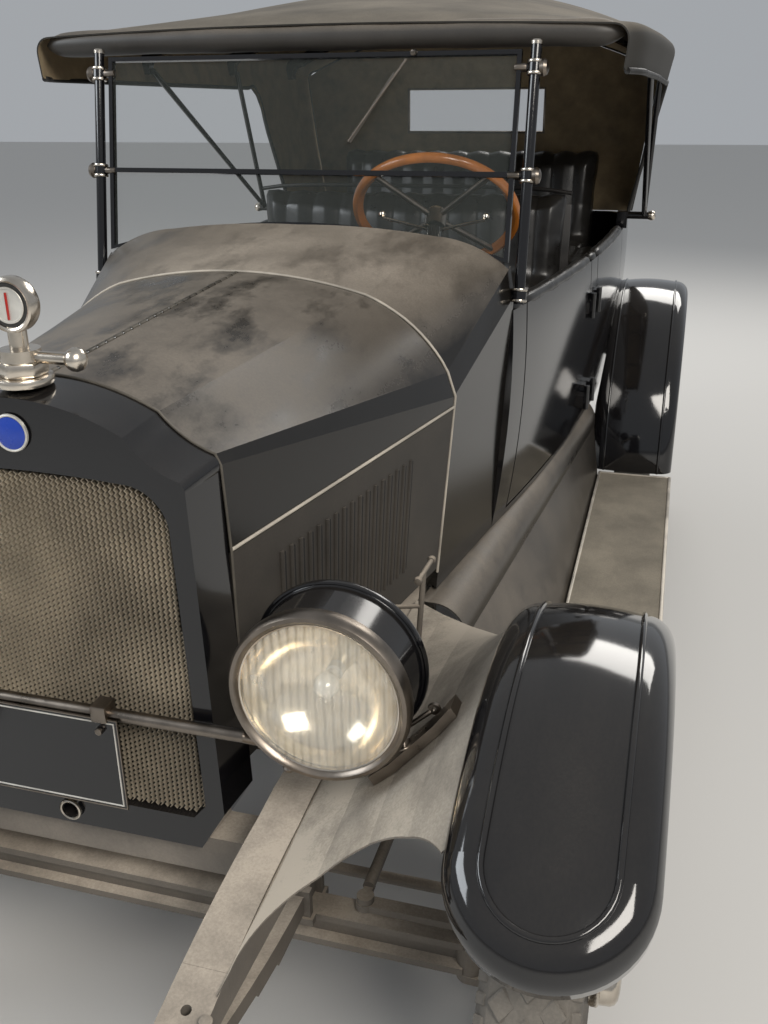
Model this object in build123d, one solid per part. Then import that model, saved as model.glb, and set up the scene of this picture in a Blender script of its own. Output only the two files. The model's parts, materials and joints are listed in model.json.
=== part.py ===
from build123d import *
import os
from math import atan2, cos, degrees, hypot, pi, radians, sin, sqrt, tan

# A four-door touring car of the 1920s, in millimetres.
# x runs to the car's left, y back from the front axle, z up from the ground.
# The pieces are stored with their origin on the ground, halfway along the car.

# Running gear
WHEELBASE = 2590
TRACK = 1425
TYRE_R = 368
TYRE_W = 116
RIM_R = 262
RIM_W = 84
SPOKES = 12
HUB_REACH = 98
DRUM_R = 150
SPINDLE_R = 15
RUN_FIT = 0.05
SEAT_GAP = 0.3

# Steering
KINGPIN_X = 600
KINGPIN_R = 9
ARM_L = 135
LINK_ARM = 160
PITMAN_L = 130
PITMAN_Y = 700
STEER_HUB = (215, 1380, 1250)
STEER_R = 205
GRIP_R = 13

# Chassis frame
RAIL_X = 335
RAIL_W = 60
RAIL_TOP = 600
RAIL_H = 95
RAIL_T = 5
HORN_Y = -395
HORN_HOLE_Y = -352
HORN_HOLE_R = 6.5
HORN_JOINT = HORN_HOLE_Y + 52
CRANK_Z = 541
CRANK_R = 13
FRAME_END = WHEELBASE + 490
CROSS_MEMBERS = (1330, WHEELBASE - 410)
MEMBER_DEPTH = 60
REAR_MEMBER = (WHEELBASE + 426, 40, 511, 548)
COLUMN_FOOT = (RAIL_X - 50, 700, 561)
TORQUE_BALL = (0, 1254, 500)
TORQUE_R = 30
SPRING_W = 40
LEAF_T = 7
FRONT_EYE = (-420, 522)
FRONT_SHACKLE = (420, 472)
REAR_SPAN = 510
TANK_FRONT = WHEELBASE + 170

# Radiator, hood and cowl
RAD_FRONT = -55
RAD_REAR = 29
RAD_BOTTOM = 513
CORE_TOP = 1080
CORE_W = 444
CORE_BOTTOM = 566
CELL_PITCH = 14
CELL_T = 3
BADGE_Z = 1131
HOOD_REAR = 665
HOOD_T = 3
HOOD_TOP_FRONT = 1184
HOOD_TOP_REAR = 1216
HOOD_GAP = 5
HINGE_PIN_R = 3.5
HINGE_FREE = 1.2
HINGE_FRONT = (248, 955)
HINGE_REAR = (419, 985)
HOOD_FOOT = (615, 650)
FOLD_R = 2.5
LOUVRES = 17
LOUVRE_START = 141
LOUVRE_PITCH = 23.2
SCREEN_Y = 1000
SCREEN_LEAN = 10.8
COWL_T = 5
POST_X = 484
POST_R = 11
POST_COLLAR = 15

# Body
BODY_W = 610
BODY_WIDE_Y = WHEELBASE - 90
BODY_PLAN_R = 8200
BODY_REAR = WHEELBASE + 360
BODY_CORNER = 140
BELT = 1100
SILL = 600
WALL = 28
DOOR_GAP = 6
DOORS = {"front": (1085, 1705), "rear": (1795, WHEELBASE - 205)}
DOOR_FOOT = 616
HINGE_LEVELS = (720, 980)
BARREL_R = 7
FLOOR_T = 18
SEAT_Z = 850
FRONT_SEAT_Y = 1375
SEAT_SIDE = 16.5
REAR_SEAT = (WHEELBASE - 340, WHEELBASE + 110)

# Fenders and boards
FENDER_IN = 612
FENDER_OUT = 840
FENDER_T = 3
FENDER_R = 522
REAR_FENDER_R = 535
SKIRT = 62
BEAD_R = 4
FENDER_EDGE = 40
APRON_IN = RAIL_X + RAIL_W / 2 + SEAT_GAP
APRON_R = FENDER_R - 44
APRON_SHARES = (0, 0.28, 0.54, 0.78, 1)
APRON_FRONT = 566
ARCH_BACK = -167
BOARD_TOP = 370
BOARD_T = 26
BOARD_START = 700
BOARD_END = WHEELBASE - REAR_FENDER_R + 3
BOARD_ARMS = (880, 1740)

# Lamps
LAMP_X = 409
LAMP_Y = -80
LAMP_Z = 820
LAMP_R = 119
BAR_Z = 734
BAR_Y = -70
BAR_R = 9

# Top
ROOF_T = 6


def place_side(x):
    return lambda y, z: (x, y, z)


def place_front(y):
    return lambda x, z: (x, y, z)


def place_plan(z):
    return lambda x, y: (x, y, z)


def edges_of(points, place):
    """Lines through (a, b) corners; a corner (a, b, via_a, via_b) is reached by an arc."""
    result = []
    for start, end in zip(points, points[1:]):
        p, q = place(*start[:2]), place(*end[:2])
        arc = len(end) == 4
        result.append((ThreePointArc(p, place(*end[2:]), q) if arc else Line(p, q)).edge())
    return result


def face(points, place):
    """A flat face inside a loop; a last corner on the first one closes it by an arc."""
    closed = points[-1][:2] == points[0][:2]
    return Face(Wire(edges_of(points if closed else points + [points[0][:2]], place)))


def across(points, x0, x1):
    """A side-view outline (y, z) carried from x0 to x1."""
    return extrude(face(points, place_side(x0)), x1 - x0, dir=(1, 0, 0))


def along(points, y0, y1):
    """A front-view outline (x, z) carried from y0 to y1."""
    return extrude(face(points, place_front(y0)), y1 - y0, dir=(0, 1, 0))


def upward(points, z0, z1):
    """A plan outline (x, y) carried from z0 to z1."""
    return extrude(face(points, place_plan(z0)), z1 - z0, dir=(0, 0, 1))


def block(x0, x1, y0, y1, z0, z1):
    centre = Pos((x0 + x1) / 2, (y0 + y1) / 2, (z0 + z1) / 2)
    return centre * Box(abs(x1 - x0), abs(y1 - y0), abs(z1 - z0))


def bar(start, end, radius):
    """A round bar from point to point."""
    run = Vector(*end) - Vector(*start)
    return Solid.make_cylinder(radius, run.length, Plane(origin=start, z_dir=run.normalized()))


def spun(points, centre=(0, 0, 0)):
    """An (x, radius) outline turned about the line along X through the centre."""
    return Pos(*centre) * revolve(face(points, place_front(0)), Axis.X, 360)


def turned(points, centre_y, centre_z, start, end):
    """An (x, radius) section swung about an axle, from start to end degrees back of upright."""
    a = radians(start)
    section = face(points, lambda x, r: (x, centre_y + r * sin(a), centre_z + r * cos(a)))
    return revolve(section, Axis((0, centre_y, centre_z), (-1, 0, 0)), end - start)


def flip(shape):
    return mirror(shape, about=Plane.YZ)


def pair(shape):
    return Compound([*shape.solids(), *flip(shape).solids()])


def joined(shapes):
    result = shapes[0]
    for shape in shapes[1:]:
        result = result + shape
    return result


def inward(points, t):
    """The same (x, z) path, t to the right of its direction."""
    def normal(a, b):
        run = hypot(b[0] - a[0], b[1] - a[1])
        return (b[1] - a[1]) / run, -(b[0] - a[0]) / run
    normals = [normal(a, b) for a, b in zip(points, points[1:])]
    result = []
    for i, p in enumerate(points):
        (ax, az), (bx, bz) = normals[max(i - 1, 0)], normals[min(i, len(normals) - 1)]
        k = t / (1 + ax * bx + az * bz)
        q = (p[0] + k * (ax + bx), p[1] + k * (az + bz))
        result.append(q + (p[2] + t * ax, p[3] + t * az) if len(p) == 4 else q)
    return result


def band(points, t):
    """Corners of a closed band of thickness t to the right of a path."""
    inner = inward(points, t)
    back = [inner[-1][:2]]
    for i in range(len(inner) - 2, -1, -1):
        back.append(inner[i][:2] + inner[i + 1][2:])
    return points + back


def strip(points, t, place):
    return face(band(points, t), place)


def save(name, shape):
    export_step(Pos(0, -MIDDLE, 0) * shape, f"parts/{name}.step")


# Wheels and tyres: made about their own axle, outboard towards +x

def tyre():
    bead, hook = RIM_W / 2 - 6, RIM_R + 9
    half = TYRE_W / 2
    return spun([(-bead, RIM_R + SEAT_GAP), (-bead, hook), (-bead - 8, hook),
                 (-half, 315, -half + 4, 290), (-44, TYRE_R - 10, -half + 2, 342),
                 (44, TYRE_R - 10, 0, TYRE_R), (half, 315, half - 2, 342),
                 (bead + 8, hook, half - 4, 290), (bead, hook), (bead, RIM_R + SEAT_GAP)])


def rim():
    half, hook = RIM_W / 2, RIM_R + 8
    return spun([(-half, RIM_R - 6), (half, RIM_R - 6), (half, hook), (half - 5, hook),
                 (half - 5, RIM_R), (5 - half, RIM_R), (5 - half, hook), (-half, hook)])


def spoke(angle):
    root = Plane((0, 0, 56), z_dir=(0, 0, 1)) * scale(RegularPolygon(20, 8), (1.05, 0.85, 1))
    tip = Plane((0, 0, 230), z_dir=(0, 0, 1)) * scale(RegularPolygon(15, 8), (1.05, 0.9, 1))
    return Rot(angle, 0, 0) * loft([root, tip], ruled=True)


def wheel(reach, drum):
    felloe = spun([(-22, 224), (22, 224), (22, RIM_R - 6), (-22, RIM_R - 6)])
    hub = spun([(-70, 0), (-70, 36), (-24, 40), (-24, 72), (24, 72), (24, 52), (50, 38),
                (HUB_REACH - 26, 33), (HUB_REACH - 8, 31), (HUB_REACH, 22, HUB_REACH - 2, 28),
                (HUB_REACH, 0)])
    result = joined([hub, felloe, rim()] + [spoke(360 * i / SPOKES) for i in range(SPOKES)])
    if drum:
        result = result + spun([(-92, 30), (-92, DRUM_R), (-40, DRUM_R), (-34, 60), (-34, 30)])
        result = result - spun([(-93, 0), (-93, DRUM_R - 6), (-46, DRUM_R - 6), (-46, 42), (-93, 42)])
    return result - spun([(-100, 0), (-100, SPINDLE_R + RUN_FIT),
                          (reach, SPINDLE_R + RUN_FIT), (reach, 0)])


def wheel_places():
    return {"front_left": (1, 0), "front_right": (-1, 0),
            "rear_left": (1, WHEELBASE), "rear_right": (-1, WHEELBASE)}


def at_wheel(shape, side, y):
    placed = Pos(TRACK / 2, y, TYRE_R) * shape
    return placed if side > 0 else flip(placed)


# Front axle and steering

BEAM_H = 60
BOSS_R = 21
EAR_GAP = 0.5
EAR_T = 14
SPINDLE_END = TRACK / 2 + 62
UP_ARM_Z = TYRE_R + BEAM_H / 2 + 12
LINK_X = KINGPIN_X - LINK_ARM


def front_axle():
    h, w, t = BEAM_H / 2, 22, 12
    section = [(-w, -h), (w, -h), (w, t - h), (6, t - h + 3), (6, h - t - 3), (w, h - t),
               (w, h), (-w, h), (-w, h - t), (-6, h - t - 3), (-6, t - h + 3), (-w, t - h)]
    beam = across([(y, z + TYRE_R) for y, z in section], -KINGPIN_X + 8, KINGPIN_X - 8)
    for side in (-1, 1):
        x = side * KINGPIN_X
        beam = beam + bar((x, 0, TYRE_R - h - 1), (x, 0, TYRE_R + h + 1), BOSS_R)
        beam = beam + block(side * RAIL_X - 34, side * RAIL_X + 34, -w - 14, w + 14,
                            TYRE_R + h - 12, TYRE_R + h)
    for side in (-1, 1):
        x = side * KINGPIN_X
        beam = beam - bar((x, 0, TYRE_R - h - 2), (x, 0, TYRE_R + h + 2), KINGPIN_R + RUN_FIT)
    return beam


def knuckle(left):
    low = TYRE_R - BEAM_H / 2 - 1 - EAR_GAP
    high = TYRE_R + BEAM_H / 2 + 1 + EAR_GAP
    x = KINGPIN_X
    result = bar((x, 0, low - EAR_T), (x, 0, low), BOSS_R)
    result = result + bar((x, 0, high), (x, 0, high + EAR_T), BOSS_R)
    web = block(x + BOSS_R + 1.5, x + BOSS_R + 20, -BOSS_R, BOSS_R, low - EAR_T, high + EAR_T)
    ears = [block(x, x + BOSS_R + 3, -BOSS_R, BOSS_R, z, z + EAR_T) for z in (low - EAR_T, high)]
    result = joined([result, web] + ears)
    result = result + bar((x, 0, low - EAR_T - 6), (x, 0, high + EAR_T + 6), KINGPIN_R)
    result = result + bar((x + BOSS_R + 10, 0, TYRE_R), (SPINDLE_END, 0, TYRE_R), SPINDLE_R)
    eye = bar((x, ARM_L, low - EAR_T), (x, ARM_L, low - 1), 14)
    arm = block(x - 11, x + 11, 0, ARM_L, low - EAR_T, low - 1)
    result = result + arm + eye - bar((x, ARM_L, low - 30), (x, ARM_L, low + 5), 8)
    if left:
        z = UP_ARM_Z
        lever = block(LINK_X, x, -11, 11, z, z + 12) + bar((LINK_X, 0, z), (LINK_X, 0, z + 12), 14)
        post = bar((x, 0, high), (x, 0, z + 12), BOSS_R)
        result = result + lever + post - bar((LINK_X, 0, z - 5), (LINK_X, 0, z + 20), 7)
    return result


def tie_rod():
    low = TYRE_R - BEAM_H / 2 - 1 - EAR_GAP
    z = low - 1 + SEAT_GAP
    rod = bar((-KINGPIN_X + 17, ARM_L, z + 7), (KINGPIN_X - 17, ARM_L, z + 7), 9.5)
    rod = rod - block(-KINGPIN_X, KINGPIN_X, ARM_L - 12, ARM_L + 12, z - 6, z)
    for side in (-1, 1):
        x = side * KINGPIN_X
        rod = rod + bar((x, ARM_L, z), (x, ARM_L, z + 10), 14)
        rod = rod + block(x, x - side * 30, ARM_L - 9, ARM_L + 9, z, z + 10)
        rod = rod + bar((x, ARM_L, z - 20), (x, ARM_L, z + 2), 8 - RUN_FIT)
    return rod


def drag_link():
    z = UP_ARM_Z + 12 + SEAT_GAP
    tube = bar((LINK_X, 17, z + 10), (LINK_X, PITMAN_Y - 10, z + 10), 9)
    eye = bar((LINK_X, 0, z), (LINK_X, 0, z + 10), 13)
    neck = block(LINK_X - 7, LINK_X + 7, 0, 30, z, z + 10)
    pin = bar((LINK_X, 0, z - 16), (LINK_X, 0, z + 2), 7 - RUN_FIT)
    ball = bar((LINK_X - 9, PITMAN_Y, z + 10), (LINK_X + 9, PITMAN_Y, z + 10), 15)
    return joined([tube, eye, neck, pin, ball])


def pitman_arm():
    top = COLUMN_FOOT[2]
    x0, x1 = RAIL_X + RAIL_W / 2 + 3, RAIL_X + RAIL_W / 2 + 15
    bottom = top - PITMAN_L
    arm = across([(PITMAN_Y - 12, top), (PITMAN_Y + 12, top), (PITMAN_Y + 8, bottom),
                  (PITMAN_Y - 8, bottom)], x0, x1)
    boss = bar((x0, PITMAN_Y, top), (x1, PITMAN_Y, top), 18)
    end = bar((x0, PITMAN_Y, bottom), (LINK_X - 9 - SEAT_GAP, PITMAN_Y, bottom), 11)
    return joined([arm, boss, end]) - bar((x0 - 1, PITMAN_Y, top), (x1 + 1, PITMAN_Y, top),
                                          10 + RUN_FIT)


def column_axis():
    run = Vector(*STEER_HUB) - Vector(*COLUMN_FOOT)
    return run.normalized()


def steering_wheel():
    """The wooden rim and the metal spider that carries it."""
    axis = column_axis()
    frame = Plane(origin=STEER_HUB, x_dir=Vector(0, 0, 1).cross(axis), z_dir=axis)
    c, g = STEER_R - GRIP_R, GRIP_R
    k = 0.7071 * g
    grip = [(c - g, 0), (c, g, c - k, k), (c + g, 0, c + k, k), (c, -g, c + k, -k),
            (c - 0.9 * g, -0.2 * g)]
    ring = revolve(face(grip, place_front(0)), Axis.Z, 360)
    boss = Pos(0, 0, -22) * Cylinder(26, 40) - Pos(0, 0, -38) * Cylinder(12 + RUN_FIT, 20)
    arms = [bar((0, 0, -14), (c * cos(radians(a)), c * sin(radians(a)), -2), 7)
            for a in (45, 135, 225, 315)]
    spider = joined([boss] + arms) - ring
    return frame.location * ring, frame.location * spider


def steering_column():
    axis = column_axis()
    foot, top = Vector(*COLUMN_FOOT), Vector(*STEER_HUB)
    jacket = bar(foot, top - axis * 48, 19)
    shaft = bar(foot, top - axis * 29, 12)
    x, y, z = COLUMN_FOOT
    case = block(x - 32, RAIL_X - RAIL_W / 2 - 2, y - 55, y + 55, z - 45, z + 42)
    cross = bar((x, y, z), (RAIL_X + RAIL_W / 2 + 15, y, z), 10)
    return joined([jacket, shaft, case, cross])


# Frame, axles and springs

def rail():
    top, low, kick = RAIL_TOP, RAIL_TOP - RAIL_H, FRAME_END - 180
    outline = [(HORN_Y, 527), (HORN_Y, 550), (-60, top - 6, -240, 580), (0, top), (kick, top),
               (FRAME_END, 545), (FRAME_END, 508), (kick, low), (120, low), (-60, low)]
    x0, x1 = RAIL_X - RAIL_W / 2, RAIL_X + RAIL_W / 2
    channel = across(outline, x0, x1)
    t = RAIL_T
    pocket = [(-60, low + t), (120, low + t), (kick - t, low + t), (FRAME_END - 30, 515),
              (FRAME_END - 30, 540), (kick, top - t), (0, top - t), (-60, top - 6 - t)]
    channel = channel - across(pocket, x0 - 1, x1 - t)
    y, z = FRONT_EYE
    for inner in (RAIL_X - SPRING_W / 2 - 10, RAIL_X + SPRING_W / 2 + 1):
        ear = across([(y, z - 18), (HORN_Y + 60, 522), (HORN_Y + 60, 552), (y, z + 18)], inner, inner + 9)
        ear = ear + bar((inner, y, z), (inner + 9, y, z), 18)
        channel = channel + ear
    channel = channel + bar((x0 - 12, y, z), (x1 + 12, y, z), 7)
    return channel


def shaft_hole():
    x, y, z = COLUMN_FOOT
    return bar((RAIL_X, y, z), (RAIL_X + RAIL_W, y, z), 10.4)


def cross_members():
    """Pressed pieces that stand between the flanges of the two rails."""
    inner = RAIL_X - RAIL_W / 2
    reach = inner + 20
    low, high = RAIL_TOP - RAIL_H + RAIL_T + SEAT_GAP, RAIL_TOP - RAIL_T - SEAT_GAP
    members = []
    for y in CROSS_MEMBERS:
        member = block(-reach, reach, y, y + MEMBER_DEPTH, low, high)
        member = member - block(30 - inner, inner - 30, y + 6, y + MEMBER_DEPTH + 1, low - 1, high - 8)
        member = member - bar(TORQUE_BALL, (0, WHEELBASE, TYRE_R), TORQUE_R + 6)
        members += member.solids()
    return Compound(members)


def chassis_frame():
    rails = rail() - shaft_hole()
    frame = rails + flip(rail())
    inner = RAIL_X - RAIL_W / 2
    low = RAIL_TOP - RAIL_H
    front = along([(-inner - 20, low + 1), (-inner - 20, low + 6), (-260, RAD_BOTTOM - SEAT_GAP),
                   (260, RAD_BOTTOM - SEAT_GAP), (inner + 20, low + 6), (inner + 20, low + 1),
                   (inner - 20, low + 1), (280, 447), (-280, 447), (-inner + 20, low + 1)], -32, 32)
    y, depth, z0, z1 = REAR_MEMBER
    frame = frame + front + block(-inner - 2.5, inner + 2.5, y, y + depth, z0, z1)
    hangers = []
    for y, z in (FRONT_SHACKLE, (WHEELBASE - REAR_SPAN, 470), (WHEELBASE + REAR_SPAN - 40, 470)):
        for side in (-1, 1):
            for x in (RAIL_X - SPRING_W / 2 - 9, RAIL_X + SPRING_W / 2 + 1):
                hangers.append(block(side * x, side * (x + 8), y - 14, y + 14, z - 16, 512))
            hangers.append(bar((side * (RAIL_X - 32), y, z), (side * (RAIL_X + 32), y, z), 7))
            hangers.append(block(side * (RAIL_X - 21), side * (RAIL_X + 21), y - 14, y + 14,
                                 low - 12, low + 3))
    under = BOARD_TOP - BOARD_T - SEAT_GAP
    arm = [(RAIL_X + 8, low + 2), (FENDER_IN - 14, under), (FENDER_OUT - 24, under)]
    for y in BOARD_ARMS:
        bracket = extrude(strip(arm, 8, place_front(y)), 40, dir=(0, 1, 0))
        hangers += [bracket, flip(bracket)]
    frame = joined([frame] + hangers)
    for x in (-RAIL_X, RAIL_X):
        frame = frame - bar((x, HORN_HOLE_Y, low), (x, HORN_HOLE_Y, RAIL_TOP), HORN_HOLE_R)
    irons = frame & block(-500, 500, HORN_Y - 100, HORN_JOINT - SEAT_GAP, 400, 700)
    frame = frame - block(-500, 500, HORN_Y - 100, HORN_JOINT, 400, 700)
    return Compound([*frame.solids(), *irons.solids()])


def spring(front_eye, rear_eye, middle_y, middle_z, leaves):
    """A leaf pack: the longest leaf on top, shorter ones stepped below it."""
    def low_point(end, share, layers):
        y, z = end
        return (middle_y + (y - middle_y) * share,
                middle_z + (z - middle_z) * share ** 2 - layers * LEAF_T)
    steps = [1 - 0.17 * i for i in range(leaves)]
    front, rear = [], []
    for i, share in enumerate(steps):
        for end, side in ((front_eye, front), (rear_eye, rear)):
            if i:
                side.append(low_point(end, share, i))
            side.append(low_point(end, share, i + 1))
    arch = front_eye, rear_eye + (middle_y, middle_z)
    outline = list(arch) + rear + front[::-1]
    x0, x1 = RAIL_X - SPRING_W / 2, RAIL_X + SPRING_W / 2
    return [across(outline, x0, x1)] + [bar((x0, y, z), (x1, y, z), 14) for y, z in (front_eye, rear_eye)]


def leaf_springs():
    front_top = TYRE_R + BEAM_H / 2 + 5 * LEAF_T + SEAT_GAP
    front = joined(spring(FRONT_EYE, FRONT_SHACKLE, 0, front_top, 5))
    rear_top = TYRE_R + 46 + 6 * LEAF_T + SEAT_GAP
    eyes = [(WHEELBASE - REAR_SPAN, 470), (WHEELBASE + REAR_SPAN - 40, 470)]
    rear = joined(spring(eyes[0], eyes[1], WHEELBASE, rear_top, 6))
    for y in (-26, 26):
        front = front + clip(y, front_top, TYRE_R + BEAM_H / 2 + SEAT_GAP)
        rear = rear + clip(WHEELBASE + y, rear_top, TYRE_R + 46 + SEAT_GAP)
    for y, z in (FRONT_EYE, FRONT_SHACKLE):
        front = front - bar((RAIL_X - 40, y, z), (RAIL_X + 40, y, z), 7 + RUN_FIT)
    for y, z in eyes:
        rear = rear - bar((RAIL_X - 40, y, z), (RAIL_X + 40, y, z), 7 + RUN_FIT)
    return Compound([*pair(front).solids(), *pair(rear).solids()])


def clip(y, top, low):
    """A clamp strap round a leaf pack."""
    w = SPRING_W / 2
    return block(RAIL_X - w - 9, RAIL_X + w + 9, y - 6, y + 6, low, top + 12)


def rear_axle():
    reach = KINGPIN_X + 8
    tube = bar((-reach, WHEELBASE, TYRE_R), (reach, WHEELBASE, TYRE_R), 38)
    ball = Pos(0, WHEELBASE, TYRE_R) * Sphere(126)
    torque = bar(TORQUE_BALL, (0, WHEELBASE, TYRE_R), TORQUE_R)
    axle = joined([tube, ball, torque])
    for side in (-1, 1):
        x = side * RAIL_X
        axle = axle + block(x - 30, x + 30, WHEELBASE - 50, WHEELBASE + 50, TYRE_R + 20, TYRE_R + 46)
        plate = side * (TRACK / 2 - 100)
        axle = axle + bar((plate - side * 6, WHEELBASE, TYRE_R), (plate, WHEELBASE, TYRE_R), DRUM_R - 8)
        axle = axle + bar((side * (reach - 20), WHEELBASE, TYRE_R),
                          (side * SPINDLE_END, WHEELBASE, TYRE_R), SPINDLE_R)
    return axle


def engine():
    rest = RAIL_TOP - RAIL_H + RAIL_T + SEAT_GAP
    motor = block(-140, 140, 120, 640, 470, 930)
    box = block(-100, 100, 640, 1250, 445, 590)
    feet = [block(-RAIL_X + 6, RAIL_X - 6, y, y + 50, rest, rest + 22) for y in (190, 560)]
    return joined([motor, box] + feet)


def exhaust():
    x, z = -235, 446
    muffler_end = WHEELBASE - 530
    pipe = bar((x, 420, z), (x, 1500, z), 19)
    down = bar((x, 420, z), (-160, 420, 600), 19)
    muffler = bar((x, 1490, z), (x, muffler_end, z), 55)
    tail = bar((x, muffler_end - 10, z), (x, muffler_end + 270, z), 16)
    flange = block(-170, -140 - SEAT_GAP, 392, 448, 572, 628)
    return joined([pipe, down, muffler, tail, flange])


def fuel_tank():
    y0, z0, z1, r = TANK_FRONT, 425, 592, 60
    half = RAIL_X - RAIL_W / 2 - 20
    shape = block(-half, half, y0, y0 + 230, z0, z1)
    tank = fillet(shape.edges().filter_by(Axis.X), r)
    flange = RAIL_TOP - RAIL_H + RAIL_T + SEAT_GAP
    for side in (-1, 1):
        tank = tank + block(side * (half - 2), side * (RAIL_X + 12), y0 + 60, y0 + 100, flange, flange + 8)
    return tank


# Radiator and hood

def radiator_outline(grow=0):
    """Front view of the radiator: chamfered foot, upright sides, hollow shoulders, arched top."""
    g = grow
    right = [(210 + g, RAD_BOTTOM), (250 + g, 580), (235 + g, 1070),
             (228 + g, 1084 + g, 233 + g, 1079 + g), (156 + g / 2, 1136 + g, 187 + g, 1104 + g)]
    left = [(-156 - g / 2, 1136 + g, 0, 1176 + g), (-228 - g, 1084 + g, -187 - g, 1104 + g),
            (-235 - g, 1070, -233 - g, 1079 + g), (-250 - g, 580), (-210 - g, RAD_BOTTOM)]
    return right + left


def core_outline(inset=0):
    w, top, low, r = CORE_W / 2 - inset, CORE_TOP - inset, CORE_BOTTOM + inset, 62
    k = r * (1 - cos(pi / 4))
    return [(w - 20, low), (w, low + 24), (w - 14, top - r), (w - 14 - r, top - 6, w - 14 - k, top - 6 - k),
            (-w + 14 + r, top - 6, 0, top), (-w + 14, top - r, -w + 14 + k, top - 6 - k),
            (-w, low + 24), (-w + 20, low)]


def radiator_shell():
    front, back = (face(radiator_outline(g), place_front(y)) for g, y in ((0, RAD_FRONT), (8, RAD_REAR)))
    shell = loft([front, back], ruled=True)
    shell = shell - along(core_outline(), RAD_FRONT - 1, RAD_REAR + 1)
    shell = shell + along(core_outline(), RAD_REAR - 12, RAD_REAR)
    shell = shell + bar((0, RAD_FRONT - 3, BADGE_Z), (0, RAD_FRONT + 2, BADGE_Z), 24)
    shell = shell + bar((0, RAD_FRONT - 4, CRANK_Z), (0, RAD_FRONT + 2, CRANK_Z), CRANK_R + 4)
    return shell - bar((0, RAD_FRONT - 10, CRANK_Z), (0, RAD_REAR + 20, CRANK_Z), CRANK_R)


def cell_layer(y0, y1, slope):
    """Slanting strips inside a border, one of two layers that cross as diamond cells."""
    outline = along(core_outline(SEAT_GAP), y0, y1)
    border = outline - along(core_outline(SEAT_GAP + 5), y0 - 1, y1 + 1)
    middle = (CORE_TOP + CORE_BOTTOM) / 2
    reach = (CORE_W + CORE_TOP - CORE_BOTTOM) / 2
    count = int(reach * sqrt(0.5) / CELL_PITCH)
    strips = [Pos(0, 0, middle) * Rot(0, slope, 0) * block(-reach, reach, y0, y1, h - CELL_T / 2, h + CELL_T / 2)
              for h in (CELL_PITCH * i for i in range(-count, count + 1))]
    inside = Compound(strips) & along(core_outline(SEAT_GAP + 4), y0, y1)
    return border.fuse(*inside.solids())


def radiator_core():
    front = RAD_FRONT + 16
    layers = [cell_layer(front, front + 4, 45),
              cell_layer(front + 4 + SEAT_GAP, front + 8 + SEAT_GAP, -45)]
    block_front = front + 8 + 2 * SEAT_GAP
    layers.append(along(core_outline(SEAT_GAP), block_front, RAD_REAR - 12 - SEAT_GAP))
    return Compound([s for layer in layers for s in layer.solids()])


def radiator_cap():
    z = 1186
    base = Pos(0, -15, z + 20) * Cylinder(26, 48)
    arms = bar((-74, -15, z + 34), (74, -15, z + 34), 8)
    knobs = [Pos(side * 78, -15, z + 34) * Sphere(14) for side in (-1, 1)]
    stem = Pos(0, -15, z + 55) * Cylinder(12, 36)
    dial = bar((0, -24, z + 100), (0, -6, z + 100), 33)
    return joined([base, arms, stem, dial] + knobs)


def hood_front():
    """Hood section behind the radiator, centre to foot, as (x, z) corners and arcs."""
    return [(HINGE_PIN_R + HINGE_FREE, HOOD_TOP_FRONT), (160, 1144, 80, 1174),
            (236, 1092, 195, 1112), (243, 1078), HINGE_FRONT]


def hood_rear():
    return [(HINGE_PIN_R + HINGE_FREE, HOOD_TOP_REAR), (250, 1183, 125, 1208),
            (405, 1050, 337, 1132), (420, 1005), HINGE_REAR]


def hood_top():
    ends = (RAD_REAR + HOOD_GAP, HOOD_REAR - HOOD_GAP)
    panel = loft([strip(s, HOOD_T, place_front(y)) for s, y in zip((hood_front(), hood_rear()), ends)],
                 ruled=True)
    return panel + bar(*fold_pin(), FOLD_R)


def fold_pin():
    """Ends of the hinge between a hood top and its side, just under the top's edge."""
    return [(x - HOOD_T / 2, y, z - FOLD_R + 0.5)
            for (x, z), y in ((HINGE_FRONT, RAD_REAR + HOOD_GAP), (HINGE_REAR, HOOD_REAR - HOOD_GAP))]


def hood_pin():
    """Ends of the hood's centre hinge, at mid thickness of the panels."""
    return ((0, RAD_REAR + SEAT_GAP, HOOD_TOP_FRONT - HOOD_T / 2),
            (0, HOOD_REAR - SEAT_GAP, HOOD_TOP_REAR - HOOD_T / 2))


def hood_hinge():
    return bar(*hood_pin(), HINGE_PIN_R)


def side_point(y, z):
    """Outer x of the hood side at a station and height."""
    share = (y - RAD_REAR) / (HOOD_REAR - RAD_REAR)
    top = HINGE_FRONT[0] + (HINGE_REAR[0] - HINGE_FRONT[0]) * share
    foot = 249 + (392 - 249) * share
    hinge = HINGE_FRONT[1] + (HINGE_REAR[1] - HINGE_FRONT[1]) * share
    low = HOOD_FOOT[0] + (HOOD_FOOT[1] - HOOD_FOOT[0]) * share
    return foot + (top - foot) * (z - low) / (hinge - low)


def hood_side():
    ends = ((RAD_REAR + HOOD_GAP, HINGE_FRONT, HOOD_FOOT[0]), (HOOD_REAR - HOOD_GAP, HINGE_REAR, HOOD_FOOT[1]))
    sections = []
    for y, (x, z), foot in ends:
        path = [(x, z - 2 * FOLD_R + 0.5 - SEAT_GAP), (side_point(y, foot), foot)]
        sections.append(strip(path, HOOD_T, place_front(y)))
    panel = loft(sections, ruled=True)
    for i in range(LOUVRES):
        run = i * LOUVRE_PITCH
        y, top, low = LOUVRE_START + run, 909 + 0.054 * run, 690 + 0.05 * run
        rib = bar((side_point(y, low), y, low), (side_point(y, top), y, top), 4)
        panel = panel + rib
    return panel


def cowl_sections():
    front = [(0, HOOD_TOP_REAR), (250, 1183, 125, 1208), (405, 1050, 337, 1132), (420, 1005), (390, SILL + 2)]
    rear = [(0, 1263), (300, 1247, 150, 1261), (462, 1190, 400, 1224), (body_half(SCREEN_Y), 1130),
            (body_half(SCREEN_Y) - 30, SILL + 2)]
    return front, rear


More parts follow.
